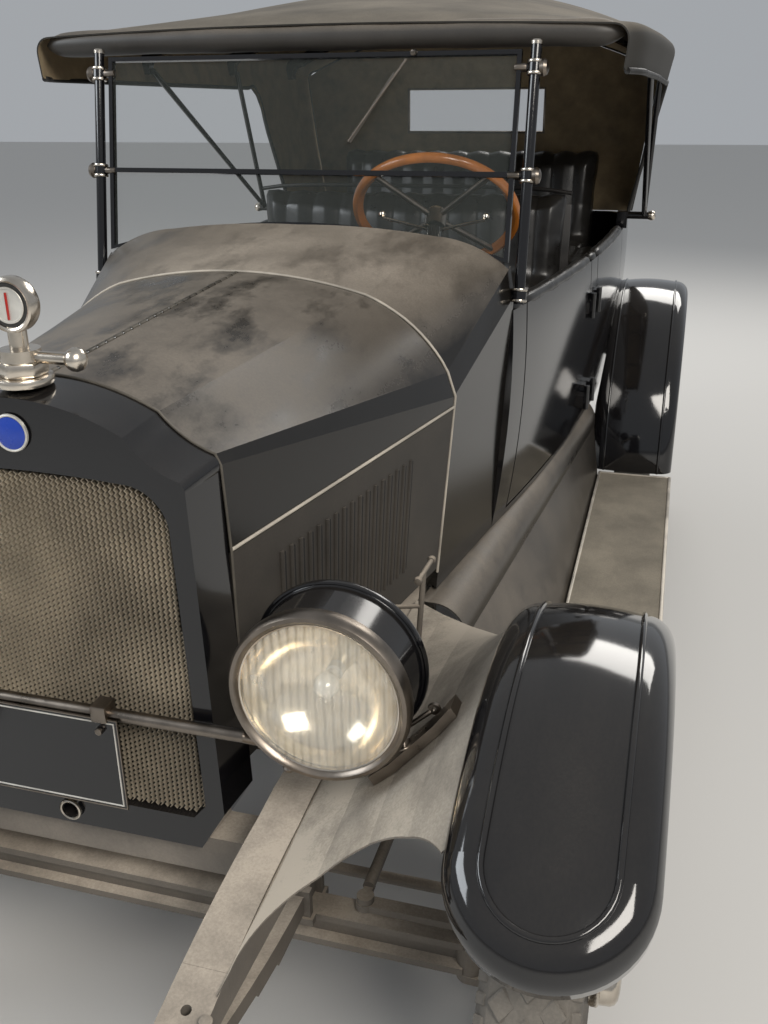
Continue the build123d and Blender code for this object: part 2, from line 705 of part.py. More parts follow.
def body_half(y):
    """Half width of the body at the belt, from its plan radius."""
    drop = BODY_WIDE_Y - y
    return BODY_W - BODY_PLAN_R + sqrt(BODY_PLAN_R ** 2 - drop ** 2)


def cowl():
    front, rear = cowl_sections()
    ends = (HOOD_REAR, SCREEN_Y)
    half = loft([strip(s, COWL_T, place_front(y)) for s, y in zip((front, rear), ends)], ruled=True)
    skin = half + flip(half)
    wall = strip_inside(front, ends[0], 6)
    panel = strip_inside(rear, ends[1], 8)
    panel = panel - block(-600, 600, 900, 1200, 500, 985)
    wall = wall - block(-115, 115, 600, 700, 500, 640)
    wall = wall - block(-450, 450, 600, 700, 400, SILL + 8)
    shape = skin + wall + Pos(0, -8, 0) * panel
    screen = screen_plane().location
    post = screen * bar((POST_X, -90, 0), (POST_X, 100, 0), POST_COLLAR + SEAT_GAP)
    sill = screen * block(-460, 460, -60, 62, -9, 9)
    return shape - post - flip(post) - sill


def strip_inside(section, y, thick):
    """A bulkhead filling a half section and its mirror."""
    inner = inward(section, COWL_T / 2)
    first, last = inner[0], inner[-1]
    half = extrude(face([(0, last[1]), (0, first[1])] + inner[1:], place_front(y)), thick, dir=(0, 1, 0))
    return half + flip(half)


# Body

def barrel(inset, low, high):
    """One side of the body: a tall drum of the plan radius, bulged below the belt."""
    x = BODY_W - inset
    axis_x = BODY_W - BODY_PLAN_R
    outline = [(axis_x, low), (x - 30 * (BELT - low) / 500, low), (x, BELT, x + 1, 900),
               (x, high), (axis_x, high)]
    if high <= BELT:
        outline.pop(3)
    section = face(outline, place_front(BODY_WIDE_Y))
    return revolve(section, Axis((axis_x, BODY_WIDE_Y, 0), (0, 0, 1)), 360)


def cabin(inset, low=SILL, high=BELT, start=SCREEN_Y + SEAT_GAP):
    side = barrel(inset, low, high)
    rear = BODY_REAR - inset
    shape = (side & flip(side)) & block(-900, 900, start, rear, low, high)
    corners = [e for e in shape.edges() if abs(e.center().Y - rear) < 5 and abs(e.center().X) > 300
               and e.bounding_box().size.Z > 0.9 * (high - low)]
    return fillet(corners, BODY_CORNER - inset)


def door_cut(name, side_gap):
    y0, y1 = DOORS[name]
    shape = block(300, 900, y0 + side_gap, y1 - side_gap, DOOR_FOOT + side_gap, BELT + 200)
    if name == "rear":
        r = REAR_FENDER_R + 28 + side_gap
        shape = shape - bar((200, WHEELBASE, TYRE_R), (1000, WHEELBASE, TYRE_R), r)
    return shape


def wall_ring():
    return cabin(0) - cabin(WALL, SILL - 50, BELT + 50, SCREEN_Y - 100)


def hinge_line(name):
    """Pin of a door: the front door at its rear edge, the rear door at its front edge."""
    y = DOORS[name][1] if name == "front" else DOORS[name][0]
    return body_half(y) + 4 + BARREL_R, y


def door_hinges(name, fixed):
    x, y = hinge_line(name)
    to_door = -1 if name == "front" else 1
    parts = []
    for z in HINGE_LEVELS:
        spans = [(z + 15.5, z + 34), (z - 34, z - 15.5)] if fixed else [(z - 15, z + 15)]
        reach = -to_door * 42 if fixed else to_door * 42
        for z0, z1 in spans:
            parts.append(bar((x, y, z0), (x, y, z1), BARREL_R))
            parts.append(block(x - BARREL_R - 26, x - 3, y + to_door * (-4 if fixed else 4), y + reach, z0, z1)
                         & block(0, x - BARREL_R + 1, 0, 4000, 0, 2000)
                         + block(x - BARREL_R, x, min(y, y + reach / 6), max(y, y + reach / 6), z0, z1))
        if fixed:
            parts.append(bar((x, y, z - 34), (x, y, z + 34), 3))
    return parts


def body_tub(ring):
    tub = ring
    for name in DOORS:
        cut = door_cut(name, 0)
        tub = tub - cut - flip(cut)
    for name in DOORS:
        for piece in door_hinges(name, True):
            tub = tub + piece + flip(piece)
    return tub


def door(ring, name):
    panel = ring & door_cut(name, DOOR_GAP)
    for piece in door_hinges(name, False):
        panel = panel + piece
    x, y = hinge_line(name)
    for z in HINGE_LEVELS:
        panel = panel - bar((x, y, z - 20), (x, y, z + 20), 3 + RUN_FIT)
    return panel


def floor_board():
    plate = cabin(WALL + SEAT_GAP, SILL - 50, BELT + 50, SCREEN_Y + 10)
    plate = plate & block(-800, 800, SCREEN_Y, BODY_REAR, SILL + SEAT_GAP, SILL + SEAT_GAP + FLOOR_T)
    toe = across([(790, 830), (1010, SILL + SEAT_GAP), (1012, SILL + FLOOR_T), (800, 850)], -385, 385)
    board = plate + toe - bar(COLUMN_FOOT, STEER_HUB, 24)
    return board - bar((0, 1180, 591), (0, 1230, 980), 14)


# Windscreen

def screen_plane():
    return Plane(origin=(0, SCREEN_Y, 1193), x_dir=(1, 0, 0), z_dir=(0, -cos(radians(SCREEN_LEAN)),
                                                                   sin(radians(SCREEN_LEAN))))


def pane_outline(low, high, half, arched):
    foot = [(-half, 13), (half, 13, 0, 74)] if arched else [(-half, low), (half, low)]
    return foot + [(half, high), (-half, high)]


PANES = ((13, 172, 448, True), (182, 404, 448, False))


def screen_slab(outline, depth):
    frame = screen_plane()
    shape = extrude(face(outline, lambda x, h: (x, h, 0)), depth / 2, both=True)
    return frame.location * shape


def windscreen_frame():
    frame = None
    for low, high, half, arched in PANES:
        ring = pane_outline(low - 9, high + 9, half + 9, arched)
        if arched:
            ring = [(-half - 9, 4), (half + 9, 4, 0, 63)] + ring[2:]
        piece = screen_slab(ring, 16) - screen_slab(pane_outline(low, high, half, arched), 40)
        frame = piece if frame is None else frame + piece
    location = screen_plane().location
    posts = []
    for side in (-1, 1):
        x = side * POST_X
        posts.append(location * bar((x, -78, 0), (x, 425, 0), POST_R))
        for h in (176, 380):
            posts.append(location * bar((side * 452, h, 0), (x, h, 0), 8))
        for h in (-60, 176, 380):
            posts.append(location * bar((x, h - 12, 0), (x, h + 12, 0), POST_COLLAR))
    return joined([frame] + posts)


def windscreen_glass():
    panes = [screen_slab(pane_outline(low + SEAT_GAP, high - SEAT_GAP, half - SEAT_GAP, False)
                         if not arched else
                         [(-half + SEAT_GAP, 13 + SEAT_GAP), (half - SEAT_GAP, 13 + SEAT_GAP, 0, 74 + SEAT_GAP),
                          (half - SEAT_GAP, high - SEAT_GAP), (-half + SEAT_GAP, high - SEAT_GAP)], 5)
             for low, high, half, arched in PANES]
    return Compound([s for p in panes for s in p.solids()])


# Top: station, half width, edge height, crown height
ROOF = [(1125, 664, 1636, 1654), (1190, 690, 1642, 1682), (1700, 715, 1645, 1762),
        (WHEELBASE - 290, 722, 1650, 1815), (WHEELBASE + 200, 700, 1640, 1815),
        (WHEELBASE + 354, 672, 1600, 1750)]
TOP_FOOT = BELT + SEAT_GAP
BOWS = (2, 3, 4)
BOW_T = 22
STUD = (BODY_W + 62, WHEELBASE - 150, 1140)


def roof_section(half, edge, crown, foot):
    """An arched roof over upright sides, closed below."""
    k = 34
    foot_half = min(half, BODY_W - 5)
    return [(foot_half, foot), (half, edge - k), (half - k, edge + 6, half - 8, edge - 4),
            (-half + k, edge + 6, 0, crown), (-half, edge - k, -half + 8, edge - 4), (-foot_half, foot)]


def roof_solid(inset):
    faces = []
    for i, (y, half, edge, crown) in enumerate(ROOF):
        shift = inset if i == 0 else (-inset if i == len(ROOF) - 1 else 0)
        foot = TOP_FOOT - (50 if inset else 0)
        faces.append(face(roof_section(half - inset, edge - inset, crown - inset, foot),
                          place_front(y + shift)))
    return loft(faces, ruled=True)


def canopy():
    skin = roof_solid(0) - roof_solid(ROOF_T)
    skin = skin - block(-900, 900, 1000, 1125 + ROOF_T + 1, 1000, 1606)
    side_open = across([(1000, 1000), (WHEELBASE - 30, 1000), (WHEELBASE - 110, 1540), (1000, 1562)],
                       -900, 900)
    window = block(-260, 260, BODY_REAR - 70, BODY_REAR + 100, 1380, 1530)
    half, (y, _, edge, _) = ROOF[0][1] - 18, ROOF[0]
    front = [(y - 14, edge - 22), (y + 26, edge - 22, y + 6, edge - 30), (y + 26, edge + 12),
             (y - 14, edge + 8, y + 4, edge + 22)]
    roll = across(front + [front[0] + (y - 22, edge - 8)], -half, half)
    return skin - side_open - window + roll


def roof_height(i, x):
    """Height of the roof's outer face at one station."""
    y, half, edge, crown = ROOF[i]
    rise, reach = crown - edge - 6, half - 34
    r = (reach ** 2 + rise ** 2) / (2 * rise)
    return crown - r + sqrt(r ** 2 - x ** 2)


def top_bows():
    """Hoops and straps under the roof, met by irons from a stud at the body's belt."""
    t = ROOF_T + SEAT_GAP
    sheet = roof_solid(t) - roof_solid(t + BOW_T)
    hoops = [sheet & block(-900, 900, ROOF[i][0] - 14, ROOF[i][0] + 14, ROOF[i][2] - 70, 1900) for i in BOWS]
    points = [(ROOF[i][0], roof_height(i, 440) - t - BOW_T + 4) for i in BOWS]
    straps = [bar((440, *a), (440, *b), 6) for a, b in zip(points, points[1:])]
    x, y, z = STUD
    irons = [bar(STUD, (ROOF[i][1] - t - 26, ROOF[i][0], ROOF[i][2] - 62), 8) for i in BOWS[:2]]
    stud = bar((BODY_W + 6, y, z), (x + 14, y, z), 12)
    foot = block(BODY_W - 24, BODY_W + 10, y - 20, y + 20, BELT + SEAT_GAP, z + 12)
    side = straps + irons + [stud, foot]
    return joined(hoops + side + [flip(shape) for shape in side])


# Seats

def front_seat_half():
    return body_half(FRONT_SEAT_Y) - WALL - SEAT_SIDE


def seat_boxes():
    low, wall = SILL + 2 * SEAT_GAP + FLOOR_T, 18
    x = front_seat_half() - wall
    front = (block(-x, x, 1400, 1830, low, SEAT_Z)
             - block(wall - x, x - wall, 1400 + wall, 1830 - wall, SILL, SEAT_Z - wall))
    y0, y1 = REAR_SEAT
    rear = (block(-540, 540, y0, y1, low, SEAT_Z)
            - block(wall - 540, 540 - wall, y0 + wall, y1 - wall, SILL, SEAT_Z - wall))
    return Compound([*front.solids(), *rear.solids()])


def cushion(x, y0, y1, z0, z1, r):
    shape = block(-x, x, y0, y1, z0, z1)
    return fillet(shape.edges(), r)


def seat_cushions():
    front = cushion(front_seat_half(), FRONT_SEAT_Y, 1850, SEAT_Z + SEAT_GAP, 1000, 30)
    rear = cushion(556, REAR_SEAT[0] - 25, REAR_SEAT[1], SEAT_Z + SEAT_GAP, 1005, 30)
    return Compound([front, rear])


def seat_backs():
    low = SILL + 2 * SEAT_GAP + FLOOR_T
    front = across([(1850 + SEAT_GAP, low), (1958, low), (2010, 1240), (1935, 1262, 1985, 1275),
                    (1900, 1030), (1850 + SEAT_GAP, 1000)], -front_seat_half(), front_seat_half())
    y0, y1 = REAR_SEAT[1] + SEAT_GAP, BODY_REAR - 45
    rear = across([(y0, low), (y1, low), (y1, 1300), (y1 - 115, 1325, y1 - 35, 1345),
                   (y1 - 160, 1035), (y0, 1005)], -500, 500)
    return Compound([*front.solids(), *rear.solids()])


# Fenders, boards and aprons

def fender_section(inner, outer, r, skirt=SKIRT):
    """Channel section (x, radius): flat crown, a bead inside each rounded edge, upright skirts."""
    e, b = FENDER_EDGE, 2 * BEAD_R
    side = [(0, r - skirt), (0, r - e), (e, r - 6, 10, r - 20), (e + b, r - 6, e + BEAD_R, r - 6 + BEAD_R)]
    left = [(inner + p[0], p[1]) + tuple(q + inner * (i == 0) for i, q in enumerate(p[2:])) for p in side]
    right = [(outer - p[0], p[1]) for p in side[::-1]]
    vias = [p[2:] for p in side[::-1]]
    crown = right[0] + ((inner + outer) / 2, r)
    rest = [q + ((outer - v[0], v[1]) if v else ()) for q, v in zip(right[1:], vias)]
    return left + [crown] + rest


NOSE_START = -33
TAIL_TURN = 50


def half_crown(whole, top):
    """The outer half of a fender section, from the middle of its crown."""
    c, z = whole[4][:2]
    big = (c ** 2 + (top - z) ** 2) / (2 * (top - z))
    return [(0, top), (c, z, c / 2, top - big + sqrt(big ** 2 - c ** 2 / 4))] + whole[5:]


def nose_dome():
    """The fender section's outer half, turned halfway round to close the nose."""
    r, w = FENDER_R, (FENDER_OUT - FENDER_IN) / 2
    whole = fender_section(-w, w, r)
    halves = half_crown(whole, r), half_crown(inward(whole, FENDER_T), r - FENDER_T)
    solids = [revolve(face([(0, r - SKIRT)] + path, place_front(0)), Axis.Z, 180) for path in halves]
    return Rot(0, 0, 180) * (solids[0] - solids[1])


def front_fender():
    section = fender_section(FENDER_IN, FENDER_OUT, FENDER_R)
    crown = turned(band(section, FENDER_T), 0, TYRE_R, NOSE_START, TAIL_TURN)
    mid = (FENDER_IN + FENDER_OUT) / 2
    nose = Pos(mid, 0, TYRE_R) * Rot(-NOSE_START, 0, 0) * nose_dome()
    a = radians(TAIL_TURN)
    run = tail_run()
    tail_face = face(band(section, FENDER_T),
                     lambda x, q: (x, q * sin(a), TYRE_R + q * cos(a)))
    tail = extrude(tail_face, run, dir=(0, cos(a), -sin(a)))
    return joined([crown, nose, tail])


def tail_run():
    """Length of the straight tail, from the crown down to the board's top."""
    a = radians(TAIL_TURN)
    height = TYRE_R + FENDER_R * cos(a) - BOARD_TOP
    return height / sin(a) + 20


def rear_fender():
    section = fender_section(FENDER_IN - 30, FENDER_OUT, REAR_FENDER_R, 66)
    shape = turned(band(section, FENDER_T), WHEELBASE, TYRE_R, -89, 76)
    low = block(500, 900, 1900, 2300, 0, BOARD_TOP + SEAT_GAP)
    return shape - cabin(-SEAT_GAP, SILL - 200, BELT, SCREEN_Y) - low


def apron_rise(share):
    """Nearly flat at the rail, then rising to the fender."""
    return 0.46 * share + 0.54 * share ** 2


def apron_line(x):
    """Height just over the apron's straight strips beside the lamp bracket."""
    share = (x - APRON_IN) / (FENDER_IN - SEAT_GAP - APRON_IN)
    a, b = [pair for pair in zip(APRON_SHARES, APRON_SHARES[1:]) if pair[0] <= share][-1]
    rise = apron_rise(a) + (apron_rise(b) - apron_rise(a)) * (share - a) / (b - a)
    return RAIL_TOP - 5 + (TYRE_R + APRON_R - RAIL_TOP + 5) * rise


def valance():
    """Apron between the front fender's inner edge and the frame rail, swept back over the axle."""
    start, turn = radians(-32), radians(80)
    sections = []
    for share in APRON_SHARES:
        x = APRON_IN + (FENDER_IN - SEAT_GAP - APRON_IN) * share
        rise = apron_rise(share)
        line = []
        for t in (0, 0.5, 1):
            a = start + turn * t
            lift = (RAIL_TOP + 6 - APRON_FRONT) * sin(pi / 2 * min(1, 1.3 * t))
            low = (HORN_Y + 15 + 980 * t, APRON_FRONT + lift)
            high = (APRON_R * sin(a), TYRE_R + APRON_R * cos(a))
            line.append((low[0] + (high[0] - low[0]) * share, low[1] + (high[1] - low[1]) * rise))
        sections.append(strip([line[0], line[2] + line[1]], FENDER_T, place_side(x)))
    sheet = loft(sections, ruled=True)
    edge = APRON_IN - 10
    arch = [(edge, -500), (edge + 12, -300), (FENDER_IN - 112, ARCH_BACK, edge + 55, -196),
            (FENDER_IN + 2, -262, FENDER_IN - 50, -207), (FENDER_IN + 2, -500)]
    return sheet - upward(arch, 400, 1000)


def running_board():
    return block(FENDER_IN, FENDER_OUT, BOARD_START, BOARD_END, BOARD_TOP - BOARD_T, BOARD_TOP)


def splash_apron():
    """Sheet rolled over the frame's edge, then running down to the running board."""
    ends = []
    out, foot = FENDER_IN - SEAT_GAP, BOARD_TOP - 20
    for y, x in ((612, RAIL_X + RAIL_W / 2 + 3), (BOARD_END - 4, 565)):
        roll = min(95, (out - x) * 0.47)
        path = [(x, SILL - SEAT_GAP), (x + 0.2 * roll, SILL - 2),
                (x + roll, SILL - 75, x + 0.82 * roll, SILL - 24), (out, foot)]
        ends.append(strip(path, FENDER_T, place_front(y)))
    return loft(ends, ruled=True)


# Lamps and plate

def headlamp():
    """Drum lamp: beaded rim, drum widening to a bead, domed back; hollow, open at the front."""
    r = LAMP_R
    outer = [(-8, 0), (-8, r - 4), (14, r - 4, 3, r), (17, r - 7), (84, r - 4), (94, r - 4, 89, r),
             (94, r - 8), (132, 26, 122, r * 0.62), (134, 0)]
    inner = [(0, 0), (0, r - 13), (14, r - 14), (84, r - 12), (92, r - 13), (126, 26, 116, r * 0.56), (128, 0)]
    body, hollow = (revolve(face(line, lambda y, q: (0, y, q)), Axis.Y, 360) for line in (outer, inner))
    mouth = bar((0, -10, 0), (0, 0, 0), r - 8)
    return Pos(LAMP_X, LAMP_Y, LAMP_Z) * (body - hollow - mouth)


def headlamp_lens():
    r = LAMP_R - 8 - SEAT_GAP
    lens = revolve(face([(-7, 0), (-4, r, -6, r / 2), (-SEAT_GAP, r), (-SEAT_GAP, 0)],
                        lambda y, q: (0, y, q)), Axis.Y, 360)
    return Pos(LAMP_X, LAMP_Y, LAMP_Z) * lens


def lamp_bar():
    """Tie bar before the radiator, lamp stems, and brackets bolted down to the fender aprons."""
    r = BAR_R
    turn, foot = (296, BAR_Y, BAR_Z), (LAMP_X, LAMP_Y + 76, LAMP_Z - LAMP_R - 24)
    arm_end = (486, -30, apron_line(486) + 8)
    parts = [bar(turn, foot, r), bar(foot, arm_end, r)]
    parts += [Pos(*p) * Sphere(r) for p in (turn, foot)]
    parts.append(bar(foot, (foot[0], foot[1], LAMP_Z - LAMP_R + 14), 14))
    xs = [470] + [APRON_IN + (FENDER_IN - SEAT_GAP - APRON_IN) * share for share in APRON_SHARES[2:4]] + [580]
    plate = [(x, apron_line(x)) for x in xs]
    parts.append(along(plate + [(x - 8, z + 12) for x, z in plate[::-1]], -46, -14))
    side = joined(parts)
    under = [(440, apron_line(440))] + plate[1:3] + [(640, apron_line(640)), (640, 500), (440, 500)]
    side = side - along(under, -200, 200)
    lamp = Pos(LAMP_X, LAMP_Y, LAMP_Z)
    for y0, y1, r0 in ((-10, 17, LAMP_R), (16, 84, LAMP_R - 4), (83, 96, LAMP_R)):
        side = side - lamp * bar((0, y0, 0), (0, y1, 0), r0 + SEAT_GAP)
    both = side + flip(side) + bar((-turn[0], *turn[1:]), turn, r)
    for x in (-164, 88):
        both = both + block(x - 9, x + 9, BAR_Y - r - 3, BAR_Y, BAR_Z - 40, BAR_Z + 16)
    return both


def licence_plate():
    back = BAR_Y - 12 - SEAT_GAP
    return block(-190, 114, back - 2, back, BAR_Z - 149, BAR_Z - 1)


def tail_lamp():
    x, z = 440, 760
    y = BODY_REAR + 110
    lamp = bar((x, y, z), (x, y + 40, z), 42)
    return lamp + bar((x, BODY_REAR + SEAT_GAP, z), (x, y + 2, z), 9)


# Spare wheel and small controls

def spare_carrier():
    """Plate on the body's back, a post, and three arms that fit inside the spare rim."""
    y, face_y = BODY_REAR + SEAT_GAP, SPARE_Y - RIM_W / 2 + 12
    plate = block(-60, 60, y, y + 12, SPARE_Z - 100, SPARE_Z + 100)
    post = bar((0, y + 5, SPARE_Z), (0, face_y + 12, SPARE_Z), 30)
    inside = bar((0, face_y, SPARE_Z), (0, face_y + 12, SPARE_Z), RIM_R - 6 - SEAT_GAP)
    arms = [inside & (Pos(0, face_y + 6, SPARE_Z) * Rot(0, a, 0) * block(-22, 22, -6, 6, 0, RIM_R))
            for a in (0, 120, 240)]
    return joined([plate, post] + arms)


def levers_and_pedals():
    lever = bar((0, 1180, 591), (0, 1230, 980), 8) + Pos(0, 1230, 990) * Sphere(17)
    return lever


SPARE_Y = BODY_REAR + 170
SPARE_Z = 800
LENGTH_FRONT = FRONT_EYE[0] - 18
LENGTH_REAR = SPARE_Y + TYRE_W / 2
MIDDLE = (LENGTH_FRONT + LENGTH_REAR) / 2

os.makedirs("parts", exist_ok=True)

RING = wall_ring()
save("chassis_frame", chassis_frame())
save("cross_members", cross_members())
save("front_axle", front_axle())
save("rear_axle", rear_axle())
save("leaf_springs", leaf_springs())
save("engine", engine())
save("exhaust", exhaust())
save("fuel_tank", fuel_tank())
save("steering_column", steering_column())
save("gear_lever", levers_and_pedals())
save("radiator_shell", radiator_shell())
save("radiator_core", radiator_core())
save("radiator_cap", radiator_cap())
save("hood_hinge", hood_hinge())
save("cowl", cowl())
save("body_tub", body_tub(RING))
save("floor_boards", floor_board())
save("windscreen_frame", windscreen_frame())
save("windscreen_glass", windscreen_glass())
save("top_canopy", canopy())
save("top_bows", top_bows())
save("seat_boxes", seat_boxes())
save("seat_cushions", seat_cushions())
save("seat_backs", seat_backs())
save("front_fenders", pair(front_fender()))
save("fender_aprons", pair(valance()))
save("rear_fenders", pair(rear_fender()))
save("running_boards", pair(running_board()))
save("splash_aprons", pair(splash_apron()))
save("headlamps", pair(headlamp()))
save("headlamp_lenses", pair(headlamp_lens()))
save("lamp_bar", lamp_bar())
save("licence_plate", licence_plate())
save("tail_lamp", tail_lamp())
save("spare_carrier", spare_carrier())
save("tie_rod", tie_rod())
save("drag_link", drag_link())
save("pitman_arm", pitman_arm())
WHEEL_RIM, WHEEL_SPIDER = steering_wheel()
save("steering_wheel", WHEEL_RIM)
save("steering_spider", WHEEL_SPIDER)
for name, (side, y) in wheel_places().items():
    rear = y > 0
    save(f"wheel_{name}", at_wheel(wheel(SPINDLE_END - TRACK / 2 + 2, rear), side, y))
    save(f"tyre_{name}", at_wheel(tyre(), side, y))
save("spare_tyre", Pos(0, SPARE_Y, SPARE_Z) * Rot(0, 0, 90) * tyre())
save("spare_rim", Pos(0, SPARE_Y, SPARE_Z) * Rot(0, 0, 90) * rim())
for side, name in ((1, "left"), (-1, "right")):
    turn = (lambda shape: shape) if side > 0 else flip
    save(f"hood_top_{name}", turn(hood_top()))
    save(f"hood_side_{name}", turn(hood_side()))
    save(f"knuckle_{name}", turn(knuckle(side > 0)))
    for which in DOORS:
        save(f"door_{which}_{name}", turn(door(RING, which)))
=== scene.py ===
import bpy
import json
from math import atan2, cos, hypot, pi, radians, sin, sqrt
from mathutils import Matrix, Vector


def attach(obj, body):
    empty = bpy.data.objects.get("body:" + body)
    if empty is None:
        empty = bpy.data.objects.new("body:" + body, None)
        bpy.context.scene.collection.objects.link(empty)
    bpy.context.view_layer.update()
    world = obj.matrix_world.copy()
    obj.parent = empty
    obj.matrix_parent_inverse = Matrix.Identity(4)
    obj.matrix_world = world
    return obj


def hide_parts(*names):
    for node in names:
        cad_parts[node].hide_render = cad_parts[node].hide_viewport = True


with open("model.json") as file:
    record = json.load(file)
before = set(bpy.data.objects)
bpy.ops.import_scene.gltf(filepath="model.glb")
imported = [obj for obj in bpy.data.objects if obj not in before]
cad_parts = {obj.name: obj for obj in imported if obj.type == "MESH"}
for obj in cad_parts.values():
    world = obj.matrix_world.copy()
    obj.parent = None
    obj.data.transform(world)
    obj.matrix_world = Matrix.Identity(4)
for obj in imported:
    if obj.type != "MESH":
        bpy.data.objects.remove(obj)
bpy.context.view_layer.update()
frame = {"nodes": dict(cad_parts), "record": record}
print("frame loaded")

# the frame's origin lies this many millimetres behind the front axle
middle = 1370


def leaveEdit():
    bpy.ops.object.mode_set(mode="OBJECT")


def deselect():
    if bpy.context.object and bpy.context.object.mode != "OBJECT":
        leaveEdit()
    bpy.ops.object.select_all(action="DESELECT")


def choose(obj):
    # makes one piece the selected and the active one
    deselect()
    obj.select_set(True)
    bpy.context.view_layer.objects.active = obj


def finishEdit(merge=0.0):
    # merges near points, turns all faces outward and leaves edit mode
    bpy.ops.mesh.select_all(action="SELECT")
    if merge:
        bpy.ops.mesh.remove_doubles(threshold=merge)
    bpy.ops.mesh.normals_make_consistent(inside=False)
    leaveEdit()


# materials: every finish is a small node tree on Object coordinates

def newMaterial(name):
    finish = bpy.data.materials.new(name)
    finish.use_nodes = True
    tree = finish.node_tree
    tree.nodes.clear()
    out = tree.nodes.new("ShaderNodeOutputMaterial")
    shader = tree.nodes.new("ShaderNodeBsdfPrincipled")
    tree.links.new(shader.outputs[0], out.inputs[0])
    return finish, tree, shader


def objectPlace(tree, scale=(1, 1, 1)):
    coords = tree.nodes.new("ShaderNodeTexCoord")
    mapping = tree.nodes.new("ShaderNodeMapping")
    mapping.inputs["Scale"].default_value = scale
    tree.links.new(coords.outputs["Object"], mapping.inputs["Vector"])
    return mapping.outputs[0]


def noise(tree, where, scale, detail=4.0, rough=0.55):
    node = tree.nodes.new("ShaderNodeTexNoise")
    node.inputs["Scale"].default_value = scale
    node.inputs["Detail"].default_value = detail
    node.inputs["Roughness"].default_value = rough
    tree.links.new(where, node.inputs["Vector"])
    return node.outputs["Fac"]


def ramp(tree, value, stops):
    node = tree.nodes.new("ShaderNodeValToRGB")
    tree.links.new(value, node.inputs[0])
    marks = node.color_ramp.elements
    while len(marks) < len(stops):
        marks.new(0.5)
    for mark, (place, tone) in zip(marks, stops):
        mark.position = place
        mark.color = (*tone, 1) if isinstance(tone, tuple) else (tone, tone, tone, 1)
    return node.outputs[0]


def maths(tree, kind, a, b, clamp=False):
    node = tree.nodes.new("ShaderNodeMath")
    node.operation = kind
    node.use_clamp = clamp
    for socket, value in zip(node.inputs, (a, b)):
        if isinstance(value, (int, float)):
            socket.default_value = value
        else:
            tree.links.new(value, socket)
    return node.outputs[0]


def mixed(tree, share, a, b):
    # from tone a to tone b as share rises
    node = tree.nodes.new("ShaderNodeMix")
    node.data_type = "RGBA"
    tree.links.new(share, node.inputs[0])
    node.inputs[6].default_value = (*a, 1)
    node.inputs[7].default_value = (*b, 1)
    return node.outputs[2]


def bump(tree, shader, height, strength, distance):
    node = tree.nodes.new("ShaderNodeBump")
    node.inputs["Strength"].default_value = strength
    node.inputs["Distance"].default_value = distance
    tree.links.new(height, node.inputs["Height"])
    tree.links.new(node.outputs[0], shader.inputs["Normal"])


def upwardShare(tree, low, high):
    # how far a face looks up, from 0 to 1
    geometry = tree.nodes.new("ShaderNodeNewGeometry")
    split = tree.nodes.new("ShaderNodeSeparateXYZ")
    tree.links.new(geometry.outputs["Normal"], split.inputs[0])
    spread = tree.nodes.new("ShaderNodeMapRange")
    spread.inputs["From Min"].default_value = low
    spread.inputs["From Max"].default_value = high
    tree.links.new(split.outputs["Z"], spread.inputs["Value"])
    return spread.outputs[0]


dustTone = (0.42, 0.36, 0.29)
gritScale = 260.0


def dustyPaint(name, tone, rough, dust, floor, dustyTone=dustTone, low=0.2, high=0.95, patch=7.0,
               smudge=0.0, streak=1.0, coat=0.0):
    # old enamel: glossy where it was wiped, dust on what looks up, smudges where hands went
    # dust is its share on a face that looks up, floor its share all over
    finish, tree, shader = newMaterial(name)
    cloud = noise(tree, objectPlace(tree, (1, 1 / streak, 1)), patch, 5.0, 0.58)
    grit = noise(tree, objectPlace(tree), gritScale, 3.0, 0.7)
    share = maths(tree, "MULTIPLY", upwardShare(tree, low, high), dust)
    share = maths(tree, "ADD", share, floor)
    share = maths(tree, "MULTIPLY", share, ramp(tree, cloud, [(0.3, 0.5), (0.7, 1.15)]))
    if smudge:
        rubbed = noise(tree, objectPlace(tree, (1.3, 0.6, 1.0)), patch * 1.7, 7.0, 0.66)
        share = maths(tree, "MULTIPLY", share, ramp(tree, rubbed, [(0.36, 1 - smudge), (0.52, 1.0)]))
    share = maths(tree, "MULTIPLY", share, ramp(tree, grit, [(0.35, 0.85), (0.65, 1.1)]), clamp=True)
    tree.links.new(mixed(tree, share, tone, dustyTone), shader.inputs["Base Color"])
    wiped = maths(tree, "ADD", maths(tree, "MULTIPLY", share, 0.8), rough, clamp=True)
    tree.links.new(wiped, shader.inputs["Roughness"])
    shader.inputs["Coat Weight"].default_value = coat
    shader.inputs["Coat Roughness"].default_value = 0.06
    bump(tree, shader, grit, 0.03, 0.001)
    return finish


def plainFinish(name, tone, rough, metal=0.0, patch=20.0, change=0.25, grit=0.05):
    # one tone that changes a little from place to place
    finish, tree, shader = newMaterial(name)
    where = objectPlace(tree)
    cloud = noise(tree, where, patch, 5.0)
    low = tuple(c * (1 - change) for c in tone)
    high = tuple(min(c * (1 + change), 1) for c in tone)
    tree.links.new(ramp(tree, cloud, [(0.3, low), (0.7, high)]), shader.inputs["Base Color"])
    worn = ramp(tree, cloud, [(0.3, rough * 0.8), (0.7, min(rough * 1.25, 1))])
    tree.links.new(worn, shader.inputs["Roughness"])
    shader.inputs["Metallic"].default_value = metal
    bump(tree, shader, noise(tree, where, 300.0, 3.0), grit, 0.001)
    return finish


def glassFinish(name, tone, clear, rough):
    # thin smeared glass
    finish, tree, shader = newMaterial(name)
    smear = noise(tree, objectPlace(tree), 9.0, 6.0)
    tree.links.new(ramp(tree, smear, [(0.35, rough), (0.7, rough + 0.12)]), shader.inputs["Roughness"])
    shader.inputs["Base Color"].default_value = (*tone, 1)
    shader.inputs["Alpha"].default_value = clear
    return finish


